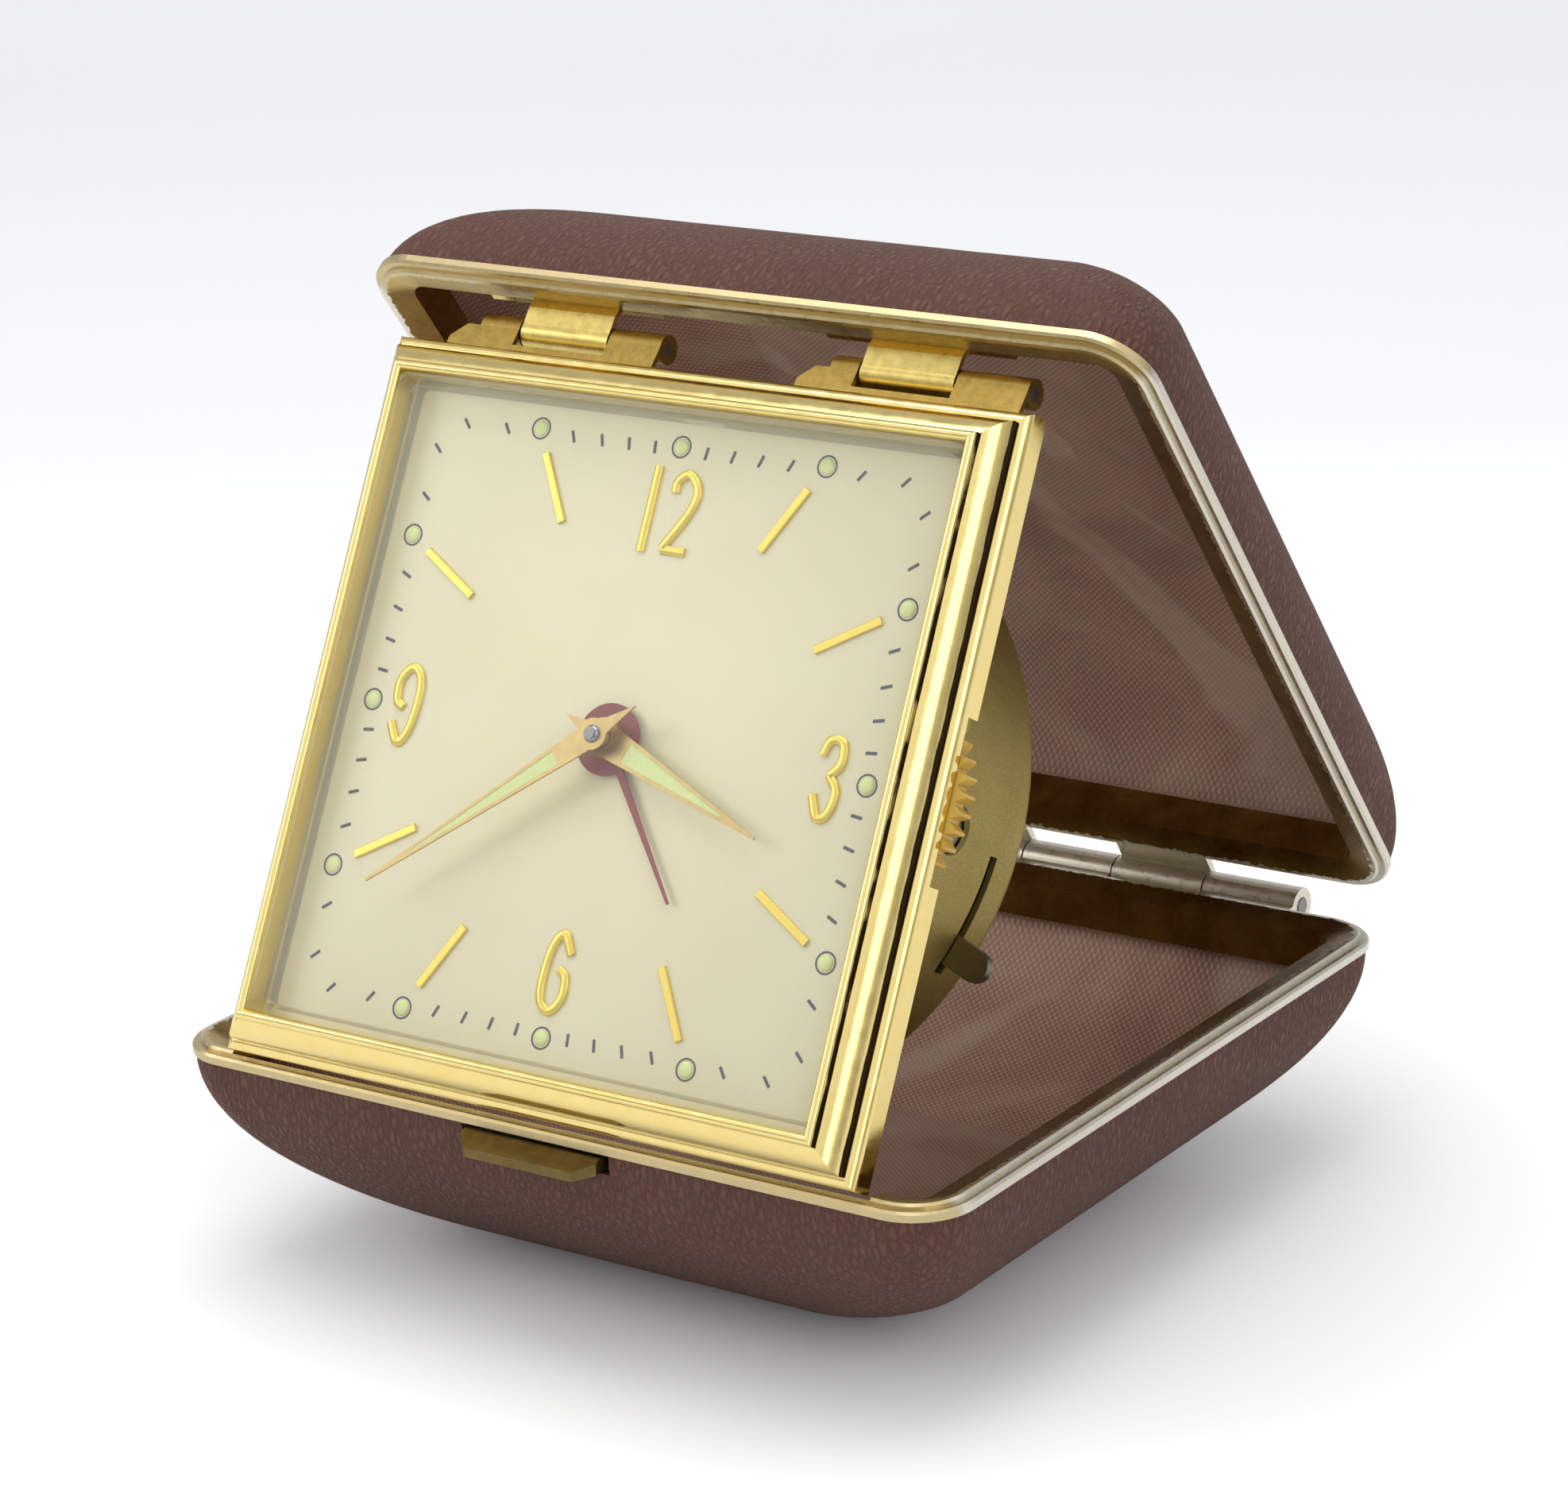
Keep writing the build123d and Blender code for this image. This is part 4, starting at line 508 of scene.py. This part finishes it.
def plain_metal(name, colour, roughness, mottle=0.12, speck=300.0):
    """A bare metal whose colour and gloss vary a little with age."""
    material, tree, output = new_material(name)
    place = add_node(tree, "TexCoord").outputs["Object"]
    age = add_node(tree, "TexNoise", {"Vector": place, "Scale": speck, "Detail": 5.0, "Roughness": 0.65})
    shade_range = {"To Min": 1 - 2 * mottle, "To Max": 1 + mottle}
    shade = add_node(tree, "MapRange", {"Value": age.outputs["Fac"], **shade_range})
    tint_parts = {0: linear(colour)[:3], "Scale": shade.outputs["Result"]}
    tint = add_node(tree, "VectorMath", tint_parts, operation="SCALE")
    dull_range = {"To Min": roughness - smoother, "To Max": roughness + rougher}
    dull = add_node(tree, "MapRange", {"Value": age.outputs["Fac"], **dull_range})
    surface = add_node(
        tree,
        "BsdfPrincipled",
        {"Base Color": tint.outputs[0], "Metallic": 1.0, "Roughness": dull.outputs["Result"]},
    )
    tree.links.new(surface.outputs[0], output.inputs["Surface"])
    return material


aged_steel = plain_metal("aged_steel", "#8d8c88", 0.36)
dress(
    aged_steel,
    "rear_hinge_pin",
    "catch_pin",
    "clock_hinge_pins",
    "centre_arbor",
    "going_arbor",
    "alarm_arbor",
    "minute_post",
    "thumb_post",
    "plate_screws",
    "cover_screws",
    "balance_staff",
    "hammer",
)


# Catch at the front
# A bent brass tab on a pin under the front lip. Thumbs have worn its lacquer brown on top and
# bright along its front edge.
catch_brass = plain_metal("catch_brass", "#7b6840", 0.42, mottle=0.3, speck=900.0)
dress(catch_brass, "catch_lever", "catch_bracket")


# Hinge between lid and clock
# Two brass leaves curled round steel pins on the clock, and two bent tabs that come down from the
# lid's flange. The gold lacquer is still bright on the tabs and has gone from the leaves.
tab_gold = plain_metal("tab_gold", "#dfc778", 0.28, mottle=0.24, speck=1100.0)
dress(tab_gold, "lid_tabs")
leaf_brass = plain_metal("leaf_brass", "#a98e4a", 0.42, mottle=0.3, speck=1300.0)
dress(leaf_brass, "clock_leaves")


# Bezel
# A stepped moulding pressed from brass, gilt and polished, that frames the crystal. Its grooves show as dark
# lines between bright bands; the lines are painted shade with some dirt.
dial_lean = math.radians(62.3674)
dial_up = Vector((0.0, math.cos(dial_lean), math.sin(dial_lean)))
dial_front = Vector((0.0, -math.sin(dial_lean), math.cos(dial_lean)))
dial_middle = Vector((0.0, -0.0261425, 0.0495112))
opening_half_width = 0.02745
opening_half_height = 0.0271
groove_lines = (0.00088, 0.0025)
groove_half = 0.000035
line_fade = 0.00003
faint_share = 0.15
dirt_roughness = 0.6
crumb_scale = 260.0
scuff_scale = 700.0
scuff_depth = 0.00001
gilt_pale = "#f5e3a0"
gilt_warm = "#efd27c"
groove_dirt_and_shade = "#2b1d10"


def dial_coordinates(tree):
    """Object coordinates, and the dial's own across and up."""
    place = add_node(tree, "TexCoord").outputs["Object"]
    from_middle = add_node(tree, "VectorMath", {0: place, 1: dial_middle}, operation="SUBTRACT")
    local = from_middle.outputs[0]
    parts = add_node(tree, "SeparateXYZ", {"Vector": local})
    rise = add_node(tree, "VectorMath", {0: local, 1: dial_up}, operation="DOT_PRODUCT")
    return place, parts.outputs["X"], rise.outputs["Value"]


gilt, tree, output = new_material("polished_gilt")
place, across, rise = dial_coordinates(tree)
beyond = []
for value, half in ((across, opening_half_width), (rise, opening_half_height)):
    size = add_node(tree, "Math", {0: value}, operation="ABSOLUTE")
    excess = add_node(tree, "Math", {0: size.outputs[0], 1: half}, operation="SUBTRACT")
    beyond.append(excess.outputs[0])
outward = add_node(tree, "Math", {0: beyond[0], 1: beyond[1]}, operation="MAXIMUM")
crumbs = add_node(tree, "TexNoise", {"Vector": place, "Scale": crumb_scale, "Detail": 3.0})
crumb_range = {"From Min": 0.3, "From Max": 0.7, "To Min": -0.00002, "To Max": 0.00003}
ragged = add_node(tree, "MapRange", {"Value": crumbs.outputs["Fac"], **crumb_range})
dirt_and_shade = None
# Dark lines along the grooves: painted shade in the recesses, with some dirt, which also dulls them.
for middle in groove_lines:
    off = add_node(tree, "Math", {0: outward.outputs[0], 1: middle}, operation="SUBTRACT")
    gap = add_node(tree, "Math", {0: off.outputs[0]}, operation="ABSOLUTE")
    loose = add_node(tree, "Math", {0: gap.outputs[0], 1: ragged.outputs["Result"]}, operation="ADD")
    line_end = groove_half + line_fade
    line_edges = {"From Min": groove_half, "From Max": line_end, "To Min": 1.0, "To Max": 0.0}
    line = add_node(tree, "MapRange", {"Value": loose.outputs[0], **line_edges})
    if dirt_and_shade is None:
        dirt_and_shade = line
    else:
        dirt_and_shade = add_node(tree, "Math", {0: dirt_and_shade.outputs[0], 1: line.outputs[0]}, operation="MAXIMUM")
# The groove lines are painted fainter above and below the dial than beside it.
at_side = add_node(tree, "Math", {0: beyond[0], 1: beyond[1]}, operation="GREATER_THAN")
line_strength = add_node(tree, "MapRange", {"Value": at_side.outputs[0], "To Min": faint_share, "To Max": 1.0})
dirt_and_shade = add_node(tree, "Math", {0: dirt_and_shade.outputs[0], 1: line_strength.outputs["Result"]}, operation="MULTIPLY")
rubs = add_node(tree, "TexNoise", {"Vector": place, "Scale": scuff_scale, "Detail": 4.0})
polish_range = {"From Min": 0.35, "From Max": 0.7, "To Min": 0.1, "To Max": 0.2}
polish = add_node(tree, "MapRange", {"Value": rubs.outputs["Fac"], **polish_range})
dirt_dull = add_node(tree, "Math", {0: dirt_and_shade.outputs[0], 1: dirt_roughness}, operation="MULTIPLY")
dull = add_node(tree, "Math", {0: polish.outputs["Result"], 1: dirt_dull.outputs[0]}, operation="MAXIMUM")
gilt_colours = {"Color1": linear(gilt_warm), "Color2": linear(gilt_pale)}
tone = add_node(tree, "MixRGB", {"Fac": rubs.outputs["Fac"], **gilt_colours})
soiled_and_shaded_colours = {"Color1": tone.outputs[0], "Color2": linear(groove_dirt_and_shade)}
soiled_and_shaded = add_node(tree, "MixRGB", {"Fac": dirt_and_shade.outputs[0], **soiled_and_shaded_colours})
scuffs = add_node(tree, "Bump", {"Height": rubs.outputs["Fac"], "Distance": scuff_depth, "Strength": 0.25})
surface = add_node(
    tree,
    "BsdfPrincipled",
    {
        "Base Color": soiled_and_shaded.outputs[0],
        "Metallic": 1.0,
        "Roughness": dull.outputs[0],
        "Normal": scuffs.outputs[0],
    },
)
tree.links.new(surface.outputs[0], output.inputs["Surface"])
dress(gilt, "bezel")


# Crystal
# A pillow-shaped cap moulded from clear acrylic, a little yellowed, that stands on the dial's edge
# inside the bezel. Only its rounded edge and faint reflections show.
acrylic_tint = "#f4f4ea"
acrylic_index = 1.49
edge_blend = 0.22
veil_range = {"From Min": 0.25, "From Max": 1.0, "To Min": 0.05, "To Max": 0.55}

acrylic, tree, output = new_material("clear_acrylic")
rim_light = add_node(tree, "LayerWeight", {"Blend": edge_blend})
veil = add_node(tree, "MapRange", {"Value": rim_light.outputs["Facing"], **veil_range})
surface = add_node(
    tree,
    "BsdfPrincipled",
    {
        "Base Color": linear(acrylic_tint),
        "Roughness": 0.06,
        "IOR": acrylic_index,
        "Alpha": veil.outputs["Result"],
    },
)
tree.links.new(surface.outputs[0], output.inputs["Surface"])
dress(acrylic, "crystal")


# Dial
# A thin brass plate with a satin champagne finish, a little flecked with age. Its minute marks and
# the rings round the luminous dots are printed in dark purple-grey ink.
dial_centre_lit = "#ded7b4"
dial_edge_shaded = "#d2ccaa"
fleck_brown = "#4a4436"
painted_light_inner = 0.004
painted_light_outer = 0.034
dial_cloud_scale = 60.0
dial_cloud_share = 0.25
fleck_scale = 420.0
rare_range = {"From Min": 0.955, "From Max": 1.0, "To Max": 0.09}
satin_scale = 9000.0
satin_depth = 0.000006

champagne, tree, output = new_material("champagne_satin")
place, across, rise = dial_coordinates(tree)
spot = add_node(tree, "CombineXYZ", {"X": across, "Y": rise})
radius = add_node(tree, "VectorMath", {0: spot.outputs[0]}, operation="LENGTH")
# The dial is painted lighter in the middle and darker towards the bezel: painted light in the middle and
# painted shade at the edge.
painted_light_range = {"Value": radius.outputs["Value"], "From Min": painted_light_inner, "From Max": painted_light_outer}
glow = add_node(tree, "MapRange", painted_light_range, interpolation_type="SMOOTHSTEP")
dial_lit_and_shaded_colours = {"Color1": linear(dial_centre_lit), "Color2": linear(dial_edge_shaded)}
tone = add_node(tree, "MixRGB", {"Fac": glow.outputs["Result"], **dial_lit_and_shaded_colours})
cloud = add_node(tree, "TexNoise", {"Vector": place, "Scale": dial_cloud_scale, "Detail": 4.0})
cloud_mix = {"Fac": dial_cloud_share, "Color1": tone.outputs[0], "Color2": cloud.outputs["Fac"]}
clouded = add_node(tree, "MixRGB", cloud_mix, blend_type="SOFT_LIGHT")
flecks = add_node(tree, "TexVoronoi", {"Vector": place, "Scale": fleck_scale})
fleck_sizes = add_node(tree, "SeparateXYZ", {"Vector": flecks.outputs["Color"]})
rare = add_node(tree, "MapRange", {"Value": fleck_sizes.outputs["X"], **rare_range})
fleck_parts = {0: flecks.outputs["Distance"], 1: rare.outputs["Result"]}
fleck = add_node(tree, "Math", fleck_parts, operation="LESS_THAN")
face_colours = {"Color1": clouded.outputs[0], "Color2": linear(fleck_brown)}
face = add_node(tree, "MixRGB", {"Fac": fleck.outputs[0], **face_colours})
grain = add_node(tree, "TexNoise", {"Vector": place, "Scale": satin_scale, "Detail": 1.0})
bump = add_node(tree, "Bump", {"Height": grain.outputs["Fac"], "Distance": satin_depth, "Strength": 0.3})
surface = add_node(
    tree,
    "BsdfPrincipled",
    {"Base Color": face.outputs[0], "Metallic": 0.25, "Roughness": 0.4, "Normal": bump.outputs[0]},
)
tree.links.new(surface.outputs[0], output.inputs["Surface"])
dress(champagne, "dial")

dial_depth = 0.003
ink_height = 0.00002
tick_length = 0.00105
tick_width = 0.00027
track_half = 0.0242
tick_inner = 0.0234
ring_inner = 0.00078
ring_outer = 0.00094
ring_sides = 32
ink_dark = "#3b3345"
ink_worn = "#574e5b"
ink_wear_scale = 2500.0


def on_dial(x, up, height):
    """A point above the dial's face, in the row frame."""
    return dial_middle + Vector((x, 0.0, 0.0)) + dial_up * up + dial_front * (height - dial_depth)


def add_piece(name, builder, material, body, smooth=False):
    """Makes an object of a finished bmesh, with its material, riding on a body."""
    mesh = bpy.data.meshes.new(name)
    bmesh.ops.recalc_face_normals(builder, faces=builder.faces)
    builder.to_mesh(mesh)
    builder.free()
    if smooth:
        mesh.shade_smooth()
    mesh.materials.append(material)
    piece = bpy.data.objects.new(name, mesh)
    bpy.context.scene.collection.objects.link(piece)
    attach(piece, body)
    return piece


ink, tree, output = new_material("printed_ink")
place = add_node(tree, "TexCoord").outputs["Object"]
wear = add_node(tree, "TexNoise", {"Vector": place, "Scale": ink_wear_scale})
ink_colours = {"Color1": linear(ink_dark), "Color2": linear(ink_worn)}
tone = add_node(tree, "MixRGB", {"Fac": wear.outputs["Fac"], **ink_colours})
surface = add_node(tree, "BsdfPrincipled", {"Base Color": tone.outputs[0], "Roughness": 0.6})
tree.links.new(surface.outputs[0], output.inputs["Surface"])

builder = bmesh.new()
for minute in range(60):
    bearing = math.tau * minute / 60
    aim = Vector((math.sin(bearing), math.cos(bearing)))
    if minute % 5 == 0:
        reach = track_half / max(abs(aim.x), abs(aim.y))
        middle = aim * reach
        ring = []
        for step in range(ring_sides + 1):
            turn = math.tau * step / ring_sides
            spoke = Vector((math.cos(turn), math.sin(turn)))
            edge = []
            for size in (ring_inner, ring_outer):
                spot = middle + spoke * size
                edge.append(builder.verts.new(on_dial(spot.x, spot.y, ink_height)))
            ring.append(edge)
        for near, far in zip(ring, ring[1:]):
            builder.faces.new((near[0], near[1], far[1], far[0]))
        continue
    reach = tick_inner / max(abs(aim.x), abs(aim.y))
    start = aim * reach
    end = aim * (reach + tick_length)
    across = Vector((aim.y, -aim.x)) * tick_width / 2
    corners = (start - across, start + across, end + across, end - across)
    builder.faces.new([builder.verts.new(on_dial(spot.x, spot.y, ink_height)) for spot in corners])
printed_track = add_piece("printed_track", builder, ink, "clock")


# Applied figures and hour bars
# Stamped brass figures and bars, gold plated and pinned to the dial. They stand a little above it,
# with soft shoulders that catch the light.
figure_gold = plain_metal("figure_gold", "#e8cf60", 0.3, mottle=0.06, speck=1500.0)
dress(figure_gold, "dial_numerals", "hour_indices")
figure_rise = 0.00028
stroke_half = 0.0004
bar_half = 0.00037
stroke_profile = ((-1.0, 0.0), (-0.92, 0.7), (-0.74, 1.0), (0.74, 1.0), (0.92, 0.7), (1.0, 0.0))
figure_half_width = 0.00115
figure_half_height = 0.00314
figure_radius = 0.0189
side_figure_radius = 0.0207
bar_inner = 0.0194
bar_outer = 0.0256
path_steps = 10
shoulder_limit = math.radians(60)
two_shares = ((-0.9, 0.5), (-0.85, 0.8), (0.0, 1.0), (0.95, 0.62), (0.6, 0.0), (-0.95, -0.95))
three_upper_shares = ((-0.85, 0.55), (-0.4, 0.95), (0.6, 0.9), (0.75, 0.4), (0.05, 0.08))
three_lower_shares = ((0.05, 0.08), (0.8, -0.3), (0.55, -0.85), (-0.25, -1.0), (-0.95, -0.45))
nine_shares = (
    (-0.2, -0.08),
    (-0.85, 0.1),
    (-0.9, 0.65),
    (0.0, 1.0),
    (0.9, 0.6),
    (0.8, -0.5),
    (0.0, -1.0),
    (-0.95, -0.5),
)


def pen_path(shares, middle_x, middle_up, turn=1):
    """A smooth path through a figure's points; a turn of -1 stands it on its head."""
    points = []
    for x, up in shares:
        across = middle_x + turn * x * figure_half_width
        points.append(Vector((across, middle_up + turn * up * figure_half_height)))
    padded = [points[0] * 2 - points[1], *points, points[-1] * 2 - points[-2]]
    path = []
    for a, b, c, d in zip(padded, padded[1:], padded[2:], padded[3:]):
        for step in range(path_steps):
            t = step / path_steps
            bend = (a * 2 - b * 5 + c * 4 - d) * t * t + (b * 3 - a - c * 3 + d) * t**3
            path.append((b * 2 + (c - a) * t + bend) / 2)
    return [*path, points[-1]]


def raise_stroke(builder, path, half_width):
    """Adds a stamped stroke with soft shoulders along a path on the dial."""
    rows = []
    for index, spot in enumerate(path):
        way = path[min(index + 1, len(path) - 1)] - path[max(index - 1, 0)]
        across = Vector((way.y, -way.x)).normalized() * half_width
        row = []
        for side_share, rise_share in stroke_profile:
            point = spot + across * side_share
            row.append(builder.verts.new(on_dial(point.x, point.y, figure_rise * rise_share)))
        rows.append(row)
    for near, far in zip(rows, rows[1:]):
        for index in range(len(near) - 1):
            builder.faces.new((near[index], near[index + 1], far[index + 1], far[index]))
    builder.faces.new(rows[0])
    builder.faces.new(rows[-1])


builder = bmesh.new()
one_x = -figure_half_width - stroke_half
two_x = figure_half_width + stroke_half
reach = figure_half_height + stroke_half
foot = figure_radius - figure_half_height
one_ends = [Vector((one_x, figure_radius - reach)), Vector((one_x, figure_radius + reach))]
raise_stroke(builder, one_ends, stroke_half)
raise_stroke(builder, pen_path(two_shares, two_x, figure_radius), stroke_half)
foot_ends = [Vector((two_x - figure_half_width, foot)), Vector((two_x + figure_half_width, foot))]
raise_stroke(builder, foot_ends, stroke_half)
raise_stroke(builder, pen_path(three_upper_shares, side_figure_radius, 0.0), stroke_half)
raise_stroke(builder, pen_path(three_lower_shares, side_figure_radius, 0.0), stroke_half)
raise_stroke(builder, pen_path(nine_shares, 0.0, -figure_radius, turn=-1), stroke_half)
raise_stroke(builder, pen_path(nine_shares, -side_figure_radius, 0.0), stroke_half)
stamped_figures = add_piece("stamped_figures", builder, figure_gold, "clock")
stamped_figures.data.shade_smooth()
stamped_figures.data.set_sharp_from_angle(angle=shoulder_limit)
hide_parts("dial_numerals")

builder = bmesh.new()
for hour in (1, 2, 4, 5, 7, 8, 10, 11):
    aim = Vector((math.sin(math.tau * hour / 12), math.cos(math.tau * hour / 12)))
    raise_stroke(builder, [aim * bar_inner, aim * bar_outer], bar_half)
stamped_bars = add_piece("stamped_bars", builder, figure_gold, "clock")
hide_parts("hour_indices")


# Luminous dots
# Drops of pale green luminous paint inside the printed rings, dried to small domes. The same paint
# fills the windows of the two hands.
lume_green = "#cddc88"
lume_pale = "#e6efb0"
lume_scale = 3000.0
lume_depth = 0.00003

lume, tree, output = new_material("luminous_paint")
place = add_node(tree, "TexCoord").outputs["Object"]
grain = add_node(tree, "TexNoise", {"Vector": place, "Scale": lume_scale, "Detail": 3.0})
lume_colours = {"Color1": linear(lume_green), "Color2": linear(lume_pale)}
tone = add_node(tree, "MixRGB", {"Fac": grain.outputs["Fac"], **lume_colours})
bump = add_node(tree, "Bump", {"Height": grain.outputs["Fac"], "Distance": lume_depth, "Strength": 0.4})
surface = add_node(
    tree,
    "BsdfPrincipled",
    {"Base Color": tone.outputs[0], "Roughness": 0.6, "Normal": bump.outputs[0]},
)
tree.links.new(surface.outputs[0], output.inputs["Surface"])
dress(lume, "lume_dots", "minute_hand_lume", "hour_hand_lume")
bead_radius = 0.00066
bead_rise = 0.0003
bead_rings = 5
bead_sides = 24


def raise_dome(builder, middle, radius, foot, rise):
    """Adds a round dome that stands on the height foot above the dial."""
    rings = []
    for level in range(bead_rings):
        tilt = math.pi / 2 * level / bead_rings
        ring = []
        for step in range(bead_sides):
            turn = math.tau * step / bead_sides
            reach = radius * math.cos(tilt)
            point = middle + Vector((math.cos(turn), math.sin(turn))) * reach
            ring.append(builder.verts.new(on_dial(point.x, point.y, foot + rise * math.sin(tilt))))
        rings.append(ring)
    top = builder.verts.new(on_dial(middle.x, middle.y, foot + rise))
    for low, high in zip(rings, rings[1:]):
        for index in range(bead_sides):
            after = (index + 1) % bead_sides
            builder.faces.new((low[index], low[after], high[after], high[index]))
    for index in range(bead_sides):
        builder.faces.new((rings[-1][index], rings[-1][(index + 1) % bead_sides], top))
    builder.faces.new(rings[0])


builder = bmesh.new()
for hour in range(12):
    aim = Vector((math.sin(math.tau * hour / 12), math.cos(math.tau * hour / 12)))
    raise_dome(builder, aim * track_half / max(abs(aim.x), abs(aim.y)), bead_radius, 0.0, bead_rise)
lume_beads = add_piece("lume_beads", builder, lume, "clock", smooth=True)
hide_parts("lume_dots")


# Hands
# Stamped brass, lacquered gold and now brown in places, each an open frame for the luminous paint.
# The alarm hand is a thin blade enamelled dark red.
hand_brass = plain_metal("hand_brass", "#cdb277", 0.36, mottle=0.2, speck=900.0)
dress(hand_brass, "minute_hand", "hour_hand", "cannon_pinion")
enamel_dark = "#7b2530"
enamel_worn = "#8f3a40"
enamel_wear_scale = 1200.0

red_enamel, tree, output = new_material("red_enamel")
place = add_node(tree, "TexCoord").outputs["Object"]
wear = add_node(tree, "TexNoise", {"Vector": place, "Scale": enamel_wear_scale, "Detail": 3.0})
enamel_colours = {"Color1": linear(enamel_dark), "Color2": linear(enamel_worn)}
tone = add_node(tree, "MixRGB", {"Fac": wear.outputs["Fac"], **enamel_colours})
surface = add_node(tree, "BsdfPrincipled", {"Base Color": tone.outputs[0], "Roughness": 0.38})
tree.links.new(surface.outputs[0], output.inputs["Surface"])
dress(red_enamel, "alarm_hand")


# Steel tip of the centre arbor
# The arbor is riveted over in front of the minute hand, and its blued head shows as a small dome.
# It turns with that hand.
blued_tip = plain_metal("blued_tip", "#8e93a3", 0.2, mottle=0.15, speck=1500.0)
tip_radius = 0.00074
tip_rise = 0.00042
hand_height = 0.0029
builder = bmesh.new()
raise_dome(builder, Vector((0.0, 0.0)), tip_radius, hand_height, tip_rise)
arbor_head = add_piece("arbor_head", builder, blued_tip, "minute_hand", smooth=True)


# Drum over the movement
# A cup drawn from brass sheet, satin lacquered, with fine scratches round it where it was turned.
# The back frame behind the bezel is the same sheet, and the keys and the knob match it.
turning_scale = 9000.0
slow_scale = 40.0
drum_stain_scale = 160.0
drum_brown = "#9a8648"
drum_gold = "#b8a466"
pinhole_scale = 9000.0
pinhole_range = {"From Min": 0.3, "From Max": 0.55, "To Min": 0.65, "To Max": 1.05}
drum_gloss = {"To Min": 0.42, "To Max": 0.62}
scratch_depth = 0.00001

satin_brass, tree, output = new_material("satin_brass")
place = add_node(tree, "TexCoord").outputs["Object"]
depth = add_node(tree, "VectorMath", {0: place, 1: dial_front}, operation="DOT_PRODUCT")
ring_place = add_node(tree, "Math", {0: depth.outputs["Value"], 1: turning_scale}, operation="MULTIPLY")
slow_place = add_node(tree, "VectorMath", {0: place, "Scale": slow_scale}, operation="SCALE")
slow_parts = add_node(tree, "SeparateXYZ", {"Vector": slow_place.outputs[0]})
turned = {"X": slow_parts.outputs["X"], "Y": slow_parts.outputs["Z"], "Z": ring_place.outputs[0]}
turned_place = add_node(tree, "CombineXYZ", turned).outputs[0]
scratches = add_node(tree, "TexNoise", {"Vector": turned_place, "Scale": 1.0, "Detail": 3.0})
stains = add_node(tree, "TexNoise", {"Vector": place, "Scale": drum_stain_scale, "Detail": 5.0})
sheet_colours = {"Color1": linear(drum_brown), "Color2": linear(drum_gold)}
aged = add_node(tree, "MixRGB", {"Fac": stains.outputs["Fac"], **sheet_colours})
pinholes = add_node(tree, "TexNoise", {"Vector": place, "Scale": pinhole_scale, "Detail": 2.0})
speckle = add_node(tree, "MapRange", {"Value": pinholes.outputs["Fac"], **pinhole_range})
sheet_parts = {0: aged.outputs[0], "Scale": speckle.outputs["Result"]}
aged_sheet = add_node(tree, "VectorMath", sheet_parts, operation="SCALE")
dull = add_node(tree, "MapRange", {"Value": scratches.outputs["Fac"], **drum_gloss})
scratch_relief = {"Height": scratches.outputs["Fac"], "Distance": scratch_depth, "Strength": 0.3}
bump = add_node(tree, "Bump", scratch_relief)
surface = add_node(
    tree,
    "BsdfPrincipled",
    {
        "Base Color": aged_sheet.outputs[0],
        "Metallic": 1.0,
        "Roughness": dull.outputs["Result"],
        "Normal": bump.outputs[0],
    },
)
tree.links.new(surface.outputs[0], output.inputs["Surface"])
dress(satin_brass, "drum_cover", "back_frame", "set_knob", "going_key", "alarm_key")


# Sounding band inside the drum
# A ring of pale blued steel that the hammer strikes. It shows through the round hole in the drum.
pale_steel = plain_metal("pale_steel", "#c4cede", 0.3, mottle=0.05)
dress(pale_steel, "gong_band")


# Alarm wheel at the bezel's edge
# A toothed wheel moulded in amber plastic, which a thumb turns to set the alarm. Light comes a
# little through its teeth.
amber_dark = "#b58c30"
amber_light = "#dcb956"
grime_scale = 500.0
grime_gloss = {"To Min": 0.3, "To Max": 0.5}
amber_glow = 0.06
amber_reach = 0.0005

amber, tree, output = new_material("amber_plastic")
place = add_node(tree, "TexCoord").outputs["Object"]
grime = add_node(tree, "TexNoise", {"Vector": place, "Scale": grime_scale, "Detail": 4.0})
amber_colours = {"Color1": linear(amber_dark), "Color2": linear(amber_light)}
tone = add_node(tree, "MixRGB", {"Fac": grime.outputs["Fac"], **amber_colours})
wear = add_node(tree, "MapRange", {"Value": grime.outputs["Fac"], **grime_gloss})
surface = add_node(
    tree,
    "BsdfPrincipled",
    {
        "Base Color": tone.outputs[0],
        "Roughness": wear.outputs["Result"],
        "Subsurface Weight": amber_glow,
        "Subsurface Radius": (1.0, 0.75, 0.4),
        "Subsurface Scale": amber_reach,
    },
)
tree.links.new(surface.outputs[0], output.inputs["Surface"])
dress(amber, "thumb_wheel")


# Alarm stop lever and regulator
# Flat blued-steel arms, rubbed grey, that stick out of slots in the drum. The stop lever is at its
# side and the regulator at its back.
lever_steel = plain_metal("lever_steel", "#86806f", 0.34, mottle=0.15)
dress(lever_steel, "stop_lever", "regulator_arm")


# Movement
# Brass plates, pillars, wheels and barrels, all plain and unlacquered, closed in by the drum. The
# steel parts between them are dressed with the pins and screws.
plain_brass = plain_metal("plain_brass", "#b89a56", 0.38)
dress(
    plain_brass,
    "front_plate",
    "back_plate",
    "plate_pillars",
    "frame_spacers",
    "cover_posts",
    "lever_bush",
    "centre_wheel",
    "hour_wheel",
    "minute_wheel",
    "alarm_wheel",
    "going_barrel",
    "alarm_barrel",
    "balance_wheel",
)
